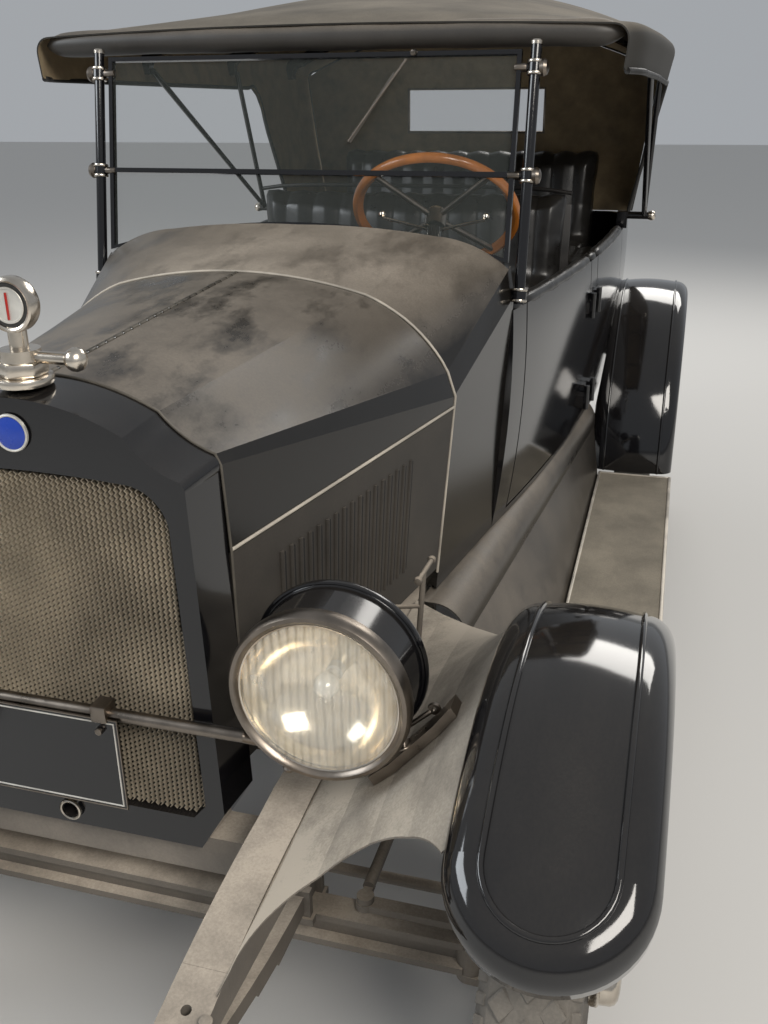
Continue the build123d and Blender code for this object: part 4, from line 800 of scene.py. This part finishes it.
def makeTread(centre, body, name, turned=False):
    # lozenges round the tyre, with short bars at its shoulders; modelled on top and spun round
    pitch = 2 * pi / tread["count"]
    parts = []
    for x, shift, top in tread["rows"]:
        deselect()
        radius, depth = tread["stud"]
        bpy.ops.mesh.primitive_cylinder_add(vertices=4, radius=radius / 1000, depth=depth / 1000)
        stud = cutStud(bpy.context.object, tread["studShape"], 2.2)
        stud.matrix_world = (Matrix.Translation((x / 1000, 0, 0)) @ Matrix.Rotation(-shift * pitch, 4, "X")
                             @ Matrix.Translation((0, 0, (top - depth / 2) / 1000)))
        parts.append(stud)
    reach, ring = tread["barsAt"]
    for side in (-1, 1):
        for shift in (0.0, 0.5):
            deselect()
            bpy.ops.mesh.primitive_cube_add(size=tread["bar"] / 1000)
            bar = cutStud(bpy.context.object, tread["barShape"], 1.8)
            bar.matrix_world = (Matrix.Rotation(-shift * pitch, 4, "X")
                                @ Matrix.Translation((side * reach / 1000, 0, ring / 1000))
                                @ Matrix.Rotation(side * radians(tread["barLean"]), 4, "Y"))
            parts.append(bar)
    whole = gather(parts)
    choose(whole)
    bpy.ops.object.transform_apply(location=True, rotation=True, scale=True)
    reshape(whole)
    turns = tread["count"] - 1
    bpy.ops.mesh.spin(steps=turns, dupli=True, angle=pitch * turns, center=(0, 0, 0), axis=(1, 0, 0))
    finishEdit()
    turn = Matrix.Rotation(pi / 2 if turned else 0, 4, "Z")
    whole.matrix_world = Matrix.Translation(at(*centre)) @ turn
    settle(whole, name, "tyreRubber", body, smooth=0)


def makeWheelTrim(word, side, y):
    body = "wheel_" + word
    centre = (side * wheel["half"], y, wheel["axle"])
    makeTread(centre, body, "tread." + word)
    settle(lathed(wheel["hubCap"], centre, (side, 0, 0), 32), "hubCap." + word, "nickel", body)
    bolts = []
    for ring, shift, reach, size in boltRings:
        for i in range(6):
            a = 2 * pi * (i + shift) / 6
            along, above = y + ring * cos(a), wheel["axle"] + ring * sin(a)
            ends = [(side * (wheel["half"] + d), along, above) for d in reach]
            bolts.append(rodBetween(*ends, size, 6, 1))
    settle(gather(bolts), "wheelBolts." + word, "rustySteel", body)


for word, (side, y) in wheelPlaces.items():
    makeWheelTrim(word, side, y)
makeTread(spareWheel, "root", "tread.spare", turned=True)
print("wheels made")

# running boards: a metal edge all round, as low and high corners with a bevel
boardEdges = [((833, 702, 341), (842, 2056, 373.5), 2), ((612.5, 702, 366), (620, 2056, 373), 1.5),
              ((614, 700, 366), (838, 708, 373), 1.5), ((614, 2050, 366), (838, 2057, 373), 1.5)]
pair(gather([boxBetween(*strip) for strip in boardEdges]), "boardEdge", "boardMetal")
print("boards trimmed")

# steering wheel: horn button and the two hand levers on the column
steering = {"hub": (215, 1380, 1250), "foot": (285, 700, 561), "leverDrop": 52, "leverReach": (128, -26, 16),
            "button": [(-4, 20), (0, 21), (8, 20), (13, 14), (15, 0)],
            "knob": [(0, 0), (3, 7), (9, 9), (15, 7), (18, 0)]}


def makeSteeringTrim():
    hub, foot = Vector(steering["hub"]), Vector(steering["foot"])
    axis = (hub - foot).normalized()
    button = lathed(steering["button"], tuple(hub), tuple(axis), 32)
    settle(button, "hornButton", "nickel", "steering_wheel")
    across = Vector((1, 0, 0))
    upward = axis.cross(across).normalized()
    reach, rise, forth = steering["leverReach"]
    start = hub - axis * steering["leverDrop"]
    for side, word in ((1, "Left"), (-1, "Right")):
        tip = start + across * side * reach + upward * rise + axis * forth
        lever = [rodBetween(tuple(start), tuple(tip), 3.6, 10),
                 lathed(steering["knob"], tuple(tip), tuple(axis), 16)]
        settle(gather(lever), "columnLever" + word, "nickel")


makeSteeringTrim()
print("steering trimmed")

# folding top: one curved sheet over the bows, with a stuffed front roll and a rear curtain
# a hoop is (y, half width, height of its edge, height of its crown)
top = {"hoops": [(1108, 660, 1640, 1658), (1125, 664, 1641, 1663), (1150, 674, 1643, 1670),
                 (1190, 690, 1645, 1684), (1320, 699, 1647, 1708), (1500, 708, 1648, 1735),
                 (1700, 716, 1648, 1764), (1900, 719, 1650, 1783), (2100, 722, 1652, 1801),
                 (2300, 724, 1653, 1817), (2420, 723, 1653, 1820), (2480, 721, 1652, 1820),
                 (2502, 720, 1652, 1820), (2524, 720, 1652, 1820), (2546, 719, 1651, 1820),
                 (2640, 716, 1650, 1819), (2790, 702, 1643, 1817), (2860, 692, 1630, 1797),
                 (2915, 682, 1612, 1770), (2942, 674, 1602, 1754), (2952, 668, 1596, 1744)],
       "sag": 7, "sagSpans": ((1190, 510), (1700, 600)), "round": 34, "thick": 3.2, "hem": 6.5, "bead": 5.5,
       "sideEdge": ((1000, 1561), (2480, 1539), (2546, 1101)), "foot": 1101.5, "footHalf": 606,
       "flat": (2.62, 1.9)}
frontRoll = {"half": 652, "blunt": 600, "steps": 44, "around": 20, "place": (1129, 1633), "bow": (10, -5),
             "deep": 25.5, "high": 27, "thinnest": 0.12, "welt": 4.2}
curtain = {"hoop": (2950, 668, 1596, 1744), "columns": 22, "upperRows": 4, "bulge": 5,
           "levels": (1101.5, 1170, 1240, 1310, 1380, 1430, 1480, 1530), "window": (260, 1380, 1530),
           "thick": 2.4, "frame": 7, "flat": (1.34, 0.66)}


def sideFoot(y):
    # height of the cloth's lower edge: level along the side, then steeply down at the rear quarter
    (y0, z0), (y1, z1), (y2, z2) = top["sideEdge"]
    if y <= y1:
        return z0 - (y - y0) * (z0 - z1) / (y1 - y0)
    return max(top["foot"], z1 - (y - y1) * (z1 - z2) / (y2 - y1))


def roofLine(y, half, edge, crown, count=12):
    # one side of a hoop, from the ridge down to the hem, as (x, z)
    sag = sum(top["sag"] * sin(pi * (y - start) / run) ** 2
              for start, run in top["sagSpans"] if start < y < start + run)
    reach, rise, turn = half - top["round"], crown - edge - 6, edge - top["round"]
    r = (reach ** 2 + rise ** 2) / (2 * rise)
    across = [reach * i / count for i in range(count + 1)]
    line = [(x, crown - sag - r + sqrt(r * r - x ** 2)) for x in across]
    line += bent([line[-1], (half, turn, half - 8, edge - 4)], 5)[1:]
    foot = sideFoot(y)
    footHalf = half + (min(half, top["footHalf"]) - half) * (turn - foot) / (turn - top["foot"])
    for i in range(1, 9):
        share = i / 8
        puff = 3.0 * sin(pi * share) if foot < 1200 else 0
        line.append((half + (footHalf - half) * share + puff, turn + (foot - turn) * share))
    return line


def lined(obj, thick):
    # dark cloth outside, tan canvas inside
    obj.data.materials.append(finishes["topCloth"])
    obj.data.materials.append(finishes["tanCanvas"])
    modify(obj, "SOLIDIFY", thickness=thick / 1000, offset=-1, material_offset=1, material_offset_rim=0)


def makeTop():
    roof = gridSheet([bothHalves([(x, hoop[0], z) for x, z in roofLine(*hoop)]) for hoop in top["hoops"]])
    faceTowards(roof, 2)
    modify(roof, "SUBSURF", levels=1, render_levels=1)
    lined(roof, top["thick"])
    settle(roof, "topSheet", None, smooth=50)
    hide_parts("top_canopy")
    quarter = top["sideEdge"][2][0]
    hemPoints = []
    for hoop in top["hoops"][1:]:
        if hoop[0] <= quarter:
            x, z = roofLine(*hoop)[-1]
            hemPoints.append((x + 0.5, hoop[0], z))
    pair(wired(hemPoints, top["hem"]), "topHem", "topBinding")
    rim = [(x, 2950 if x < 640 else 2948, z) for x, z in roofLine(*top["hoops"][-1])]
    bead = wired(bothHalves(rim), top["bead"])
    settle(bead, "topRearBead", "topBinding")


def makeFrontRoll():
    # thick stuffed roll along the top's front edge, bowed and a little uneven
    half, blunt, steps, around = (frontRoll[key] for key in ("half", "blunt", "steps", "around"))
    rings = []
    for i in range(steps + 1):
        x = -half + 2 * half * i / steps
        end = max(0.0, (abs(x) - blunt) / (half - blunt))
        fat = max(sqrt(max(0.0, 1 - end ** 2)), frontRoll["thinnest"])
        fat *= 1 + 0.03 * sin(x * 0.021) + 0.02 * sin(x * 0.057 + 1)
        y, z = (start + bow * (x / half) ** 4 for start, bow in zip(frontRoll["place"], frontRoll["bow"]))
        ring = []
        for k in range(around + 1):
            a = 2 * pi * k / around
            deep = frontRoll["deep"] * fat * cos(a) * (1.0 if cos(a) < 0 else 0.8)
            ring.append((x, y + deep, z + frontRoll["high"] * fat * sin(a)))
        rings.append(ring)
    roll = stuffedTube(rings)
    settle(roll, "topFrontRoll", "rollHide", smooth=60)
    seam = [(x, 1147 - 3 * (x / 640) ** 2, 1658 - 16 * (x / 640) ** 4) for x in range(-640, 641, 80)]
    welt = wired(seam, frontRoll["welt"])
    settle(welt, "topWelt", "topBinding")


def makeRearCurtain():
    y, half = curtain["hoop"][:2]
    window, low, high = curtain["window"]
    levels, columns, upper = curtain["levels"], curtain["columns"], curtain["upperRows"]
    outline = roofLine(*curtain["hoop"])[:18]

    def ceiling(x):
        for (xa, za), (xb, zb) in zip(outline, outline[1:]):
            if xa <= abs(x) <= xb + 0.001:
                return za + (zb - za) * (abs(x) - xa) / max(xb - xa, 0.001)
        return outline[-1][1]

    rows = []
    for k in range(len(levels) + upper):
        row = []
        for i in range(-columns, columns + 1):
            x = i / columns * (half - 4)
            if abs(abs(x) - window) < 16:
                x = window * (1 if x > 0 else -1)
            if k < len(levels):
                z = levels[k]
            else:
                z = high + (ceiling(x) - 6 - high) * (k - len(levels) + 1) / upper
            shrink = 1 - (1 - top["footHalf"] / half) * max(0.0, (1562 - z) / 460)
            bulge = curtain["bulge"] * sin(pi * min(1, (z - 1101) / 500)) * (1 - (x / half) ** 2)
            beside = abs(x) > window + 20 or not low - 5 < z < high + 5
            row.append((x * shrink if beside else x, y - 7 + bulge, z))
        rows.append(row)
    sheetPiece = gridSheet(rows)
    lowZ, highZ = low / 1000 - 0.001, high / 1000 + 0.001
    cutAway(sheetPiece, "FACE", [abs(face.center.x) < (window + 2) / 1000 and lowZ < face.center.z < highZ
                                 for face in sheetPiece.data.polygons])
    faceTowards(sheetPiece, 1)
    lined(sheetPiece, curtain["thick"])
    settle(sheetPiece, "rearCurtain", None, smooth=50)
    ring = borderRing(-window - 2, window + 2, y - 2, low - 2, high + 2, curtain["frame"])
    settle(ring, "rearWindowFrame", "darkNickel")
    pane = boxBetween((1 - window, y - 4, low + 1), (window - 1, y - 1, high - 1), 1)
    settle(pane, "rearWindowPane", "clearGlass")


makeTop()
makeFrontRoll()
makeRearCurtain()
print("top made")

# seats: stuffed by a short cloth simulation, then pleated
# a pleat's width and depth are in millimetres, what the simulation takes is in metres
seatWork = {"voxel": 0.011, "pressure": 4.0, "cap": 0.020, "frames": 16, "pleat": 82, "deep": 11}
# name, node that it comes from, its place in that node from the front, half width, shrink on each axis
seats = [("frontCushion", "seat_cushions", 0, 470, (0.006, 0.012, 0.012)),
         ("rearCushion", "seat_cushions", 1, 538, (0.006, 0.010, 0.012)),
         ("frontBack", "seat_backs", 0, 470, (0.010, 0.014, 0.012)),
         ("rearBack", "seat_backs", 1, 482, (0.010, 0.012, 0.012))]
backTrim = {"panel": ((-478, 2004, 640), (478, 2012, 1215)), "half": 480, "welt": 6}


def looseParts(obj):
    # the separate solids of a piece, from the front of the car to its rear
    reshape(obj)
    bpy.ops.mesh.separate(type="LOOSE")
    leaveEdit()
    return sorted(bpy.context.selected_objects, key=lambda part: min(v.co.y for v in part.data.vertices))


def blownUp(pad, low, high):
    # cloth under pressure, with how far a point may move capped
    start = [v.co.copy() for v in pad.data.vertices]
    choose(pad)
    bpy.ops.object.modifier_add(type="CLOTH")
    cloth = pad.modifiers[-1]
    cloth.settings.use_pressure = True
    cloth.settings.uniform_pressure_force = seatWork["pressure"]
    cloth.settings.effector_weights.gravity = 0
    for step in range(1, seatWork["frames"] + 1):
        bpy.context.scene.frame_set(step)
    bpy.ops.object.modifier_apply(modifier=cloth.name)
    bpy.context.scene.frame_set(1)
    for v, before in zip(pad.data.vertices, start):
        moved = v.co - before
        if moved.length > seatWork["cap"]:
            v.co = before + moved * (seatWork["cap"] / moved.length)
        v.co.z = max(v.co.z, low.z + 0.001)
        v.co.y = min(v.co.y, high.y + 0.012)


def stuffed(pad, shrink):
    low, high = (Vector(pick(v.co[k] for v in pad.data.vertices) for k in range(3)) for pick in (min, max))
    centre = (low + high) / 2
    scale = [1 - 2 * shrink[k] / (high[k] - low[k]) for k in range(3)]
    for v in pad.data.vertices:
        v.co = Vector(centre[k] + (v.co[k] - centre[k]) * scale[k] for k in range(3))
    modify(pad, "REMESH", mode="VOXEL", voxel_size=seatWork["voxel"])
    blownUp(pad, low, high)
    modify(pad, "SMOOTH", factor=0.5, iterations=4)
    modify(pad, "SUBSURF", levels=1, render_levels=1)
    return pad


def pleated(pad, half, back):
    # sewn channels: across a cushion and down over its front edge, or up a back and over its top
    count = round(2 * half / seatWork["pleat"])
    pitch = 2 * half / count / 1000
    pad.data.update()
    normals = [v.normal.copy() for v in pad.data.vertices]
    lowZ = min(v.co.z for v in pad.data.vertices)
    for v, n in zip(pad.data.vertices, normals):
        if abs(v.co.x) > half / 1000 + 0.004:
            continue
        near = abs(((v.co.x + half / 1000) / pitch + 0.5) % 1 - 0.5) * 2
        dip = max(0.0, 1 - near ** 0.55)
        if back:
            face = max(0.0, min(1.0, -n.y * 1.6 + max(0, n.z) * 1.2))
            face *= min(1.0, max(0.0, (v.co.z - lowZ - 0.04) / 0.05))
        else:
            face = max(0.0, min(1.0, n.z * 1.5 + max(0.0, -n.y) * (1.0 if v.co.z > lowZ + 0.05 else 0)))
        v.co -= n * (seatWork["deep"] / 1000 * dip * face)
    pad.data.update()
    return pad


def makeSeats():
    parts = {node: looseParts(copyOf(node)) for node in ("seat_cushions", "seat_backs")}
    for name, node, place, half, shrink in seats:
        pad = pleated(stuffed(parts[node][place], shrink), half, node == "seat_backs")
        settle(pad, name, "leather", smooth=0)
        pad.data.shade_smooth()
        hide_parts(node)
        print("seat piece", name, len(pad.data.polygons))


def makeBackTrim():
    settle(boxBetween(*backTrim["panel"], 3), "frontBackPanel", "leatherFlat")
    half = backTrim["half"]
    seam = [(x, 1978 - 4 * (x / half) ** 2, 1262 - 14 * (x / half) ** 6) for x in range(-half, half + 1, 60)]
    welt = wired(seam, backTrim["welt"])
    settle(welt, "frontBackWelt", "leatherFlat")


makeSeats()
makeBackTrim()

# rolled hide along the top edge of the body and doors, and trim panels and handles inside the doors
beltRoll = {"radius": 16, "level": 1102, "inset": 15, "step": 22, "around": 14,
            "spans": [("tub.front", "root", 1006, 1082), ("front", "door_front_", 1092, 1698),
                      ("tub.post", "root", 1709, 1791), ("rear", "door_rear_", 1802, 2378)]}
doorTrim = {"spans": {"front": (1110, 1680), "rear": (1822, 2150)}, "low": 690, "high": 1066, "inset": 29,
            "columns": 14, "rows": 12, "thick": 2.5}
doorHandle = {"places": {"front": 1180, "rear": 2090}, "inset": 38, "level": 1010,
              "rods": [((6, 0, 0), (-16, 0, 0), 6, 12, 1), ((-14, 0, 0), (-18, 78, -4), 4.6, 12, 2),
                       ((6, 0, 0), (-2, 0, 0), 17, 20, 2)]}


def rolledEdge(y0, y1):
    count = max(2, int((y1 - y0) / beltRoll["step"]))
    around = beltRoll["around"]
    rings = []
    for i in range(count + 1):
        y = y0 + (y1 - y0) * i / count
        end = min(1.0, min(i, count - i) / 0.9 + 0.45)
        fat = beltRoll["radius"] * end * (1 + 0.05 * sin(y * 0.045) + 0.035 * sin(y * 0.13))
        x = bodyHalf(y) - beltRoll["inset"]
        rings.append([(x + fat * 1.06 * cos(a), y, beltRoll["level"] + fat * sin(a))
                      for a in (2 * pi * k / around for k in range(around + 1))])
    return stuffedTube(rings)


def innerBulge(z):
    # how far the door's inner face bows out at a height
    return 1 + 0.03214 * (z - 900) - 0.0001857 * (z - 900) ** 2


def trimPanel(y0, y1):
    # a padded board on the door's inner face
    columns, count, low = doorTrim["columns"], doorTrim["rows"], doorTrim["low"]
    rows = []
    for i in range(columns + 1):
        y = y0 + (y1 - y0) * i / columns
        row = []
        for k in range(count + 1):
            z = low + (doorTrim["high"] - low) * k / count
            rim = min(1.0, min(i, columns - i) / 1.2, min(k, count - k) / 1.2)
            fat = 3 + 6 * sqrt(max(0.0, rim))
            row.append((bodyHalf(y) - doorTrim["inset"] + innerBulge(z) - fat, y, z))
        rows.append(row)
    panel = gridSheet(rows)
    modify(panel, "SUBSURF", levels=1, render_levels=1)
    modify(panel, "SOLIDIFY", thickness=doorTrim["thick"] / 1000, offset=0)
    return panel


def makeHandle(y):
    base = (bodyHalf(y) - doorHandle["inset"], y, doorHandle["level"])
    rods = []
    for start, end, radius, sides, bevel in doorHandle["rods"]:
        ends = [tuple(a + b for a, b in zip(base, place)) for place in (start, end)]
        rods.append(rodBetween(*ends, radius, sides, bevel))
    return gather(rods)


for name, body, y0, y1 in beltRoll["spans"]:
    pair(rolledEdge(y0, y1), "beltRoll.%s." % name, "leather", body, smooth=70)
for name, span in doorTrim["spans"].items():
    pair(trimPanel(*span), "doorTrim.%s." % name, "leatherFlat", "door_%s_" % name, smooth=60)
for name, y in doorHandle["places"].items():
    pair(makeHandle(y), "doorHandle.%s." % name, "nickel", "door_%s_" % name)
print("upholstery made")

# knobs of the top's irons, tail lamp
topKnob = {"place": (686, 2440, 1140),
           "outline": [(0, 13), (4, 14), (10, 15.5), (17, 14.5), (22, 10), (24, 0)]}
tailLamp = {"place": (440, 3100, 760), "glass": [(0, 36), (3, 37), (8, 33), (12, 22), (14, 0)],
            "rim": [(-3, 40), (-3, 43.5), (3, 44), (5, 40), (4, 36.5)]}
for side, word in ((1, "Left"), (-1, "Right")):
    x, y, z = topKnob["place"]
    settle(lathed(topKnob["outline"], (side * x, y, z), (side, 0, 0), 24), "topKnob" + word, "nickel")
settle(lathed(tailLamp["glass"], tailLamp["place"], steps=40), "tailGlass", "redGlass")
settle(lathed(tailLamp["rim"], tailLamp["place"], steps=40), "tailRim", "nickel")
print("fittings made")

# floor, sky and lamps, in metres
room = {"floor": (0.62, 0.61, 0.59), "floorSize": 60, "sky": (0.86, 0.9, 0.95), "skyLight": 0.42}
# each lamp: place, size, power, tone and what it aims at
lampPanels = {"mainLight": ((3.5, -4.5, 4.6), (3.2, 2.2), 300, (1, 0.95, 0.88), (0, -0.6, 0.9)),
              "fillLight": ((-4.2, -3.0, 3.6), (3.0, 2.0), 130, (0.9, 0.95, 1), (0, -0.5, 0.9)),
              "rearLight": ((1.5, 5.0, 4.5), (3.5, 2.0), 160, (1, 0.97, 0.92), (0, 0.8, 0.9))}


def makeGround():
    deselect()
    bpy.ops.mesh.primitive_plane_add(size=1, location=(0, 0, 0))
    ground = bpy.context.object
    ground.name = "ground"
    bpy.ops.object.mode_set(mode="EDIT")
    bpy.ops.transform.resize(value=(room["floorSize"], room["floorSize"], 1))
    leaveEdit()
    finish, tree, shader = newMaterial("groundPaint")
    shader.inputs["Base Color"].default_value = (*room["floor"], 1)
    shader.inputs["Roughness"].default_value = 0.9
    ground.data.materials.append(finish)


def makeSky():
    world = bpy.data.worlds.new("sky")
    bpy.context.scene.world = world
    world.use_nodes = True
    background = world.node_tree.nodes["Background"]
    background.inputs[0].default_value = (*room["sky"], 1)
    background.inputs[1].default_value = room["skyLight"]


def makeLampPanel(name, place, size, power, tone, aim):
    light = bpy.data.lights.new(name, "AREA")
    light.shape = "RECTANGLE"
    light.size, light.size_y = size
    light.energy = power
    light.color = tone
    panel = bpy.data.objects.new(name, light)
    bpy.context.collection.objects.link(panel)
    panel.location = place
    panel.rotation_euler = (Vector(aim) - Vector(place)).to_track_quat("-Z", "Y").to_euler()


makeGround()
makeSky()
for name, panel in lampPanels.items():
    makeLampPanel(name, *panel)

# the camera stands where the photo was taken, in metres behind the front axle
camera = {"place": (0.789, -1.0882, 1.5259), "pitch": 22.82, "yaw": -16.13, "roll": -0.554, "lens": 35.16}


def placeCamera():
    view = bpy.data.cameras.new("photoCamera")
    view.sensor_fit = "AUTO"
    view.sensor_width = 36
    view.lens = camera["lens"]
    eye = bpy.data.objects.new("photoCamera", view)
    bpy.context.collection.objects.link(eye)
    pitch, yaw, roll = (radians(camera[k]) for k in ("pitch", "yaw", "roll"))
    ahead = Vector((sin(yaw) * cos(pitch), cos(yaw) * cos(pitch), -sin(pitch)))
    right = Vector((cos(yaw), -sin(yaw), 0))
    up = right.cross(ahead)
    rightRolled = cos(roll) * right + sin(roll) * up
    upRolled = -sin(roll) * right + cos(roll) * up
    x, y, z = camera["place"]
    turn = Matrix((rightRolled, upRolled, -ahead)).transposed().to_4x4()
    eye.matrix_world = Matrix.Translation((x, y - middle / 1000, z)) @ turn
    bpy.context.scene.camera = eye


placeCamera()
bpy.context.scene.view_settings.view_transform = "Standard"
print("camera and lights placed")
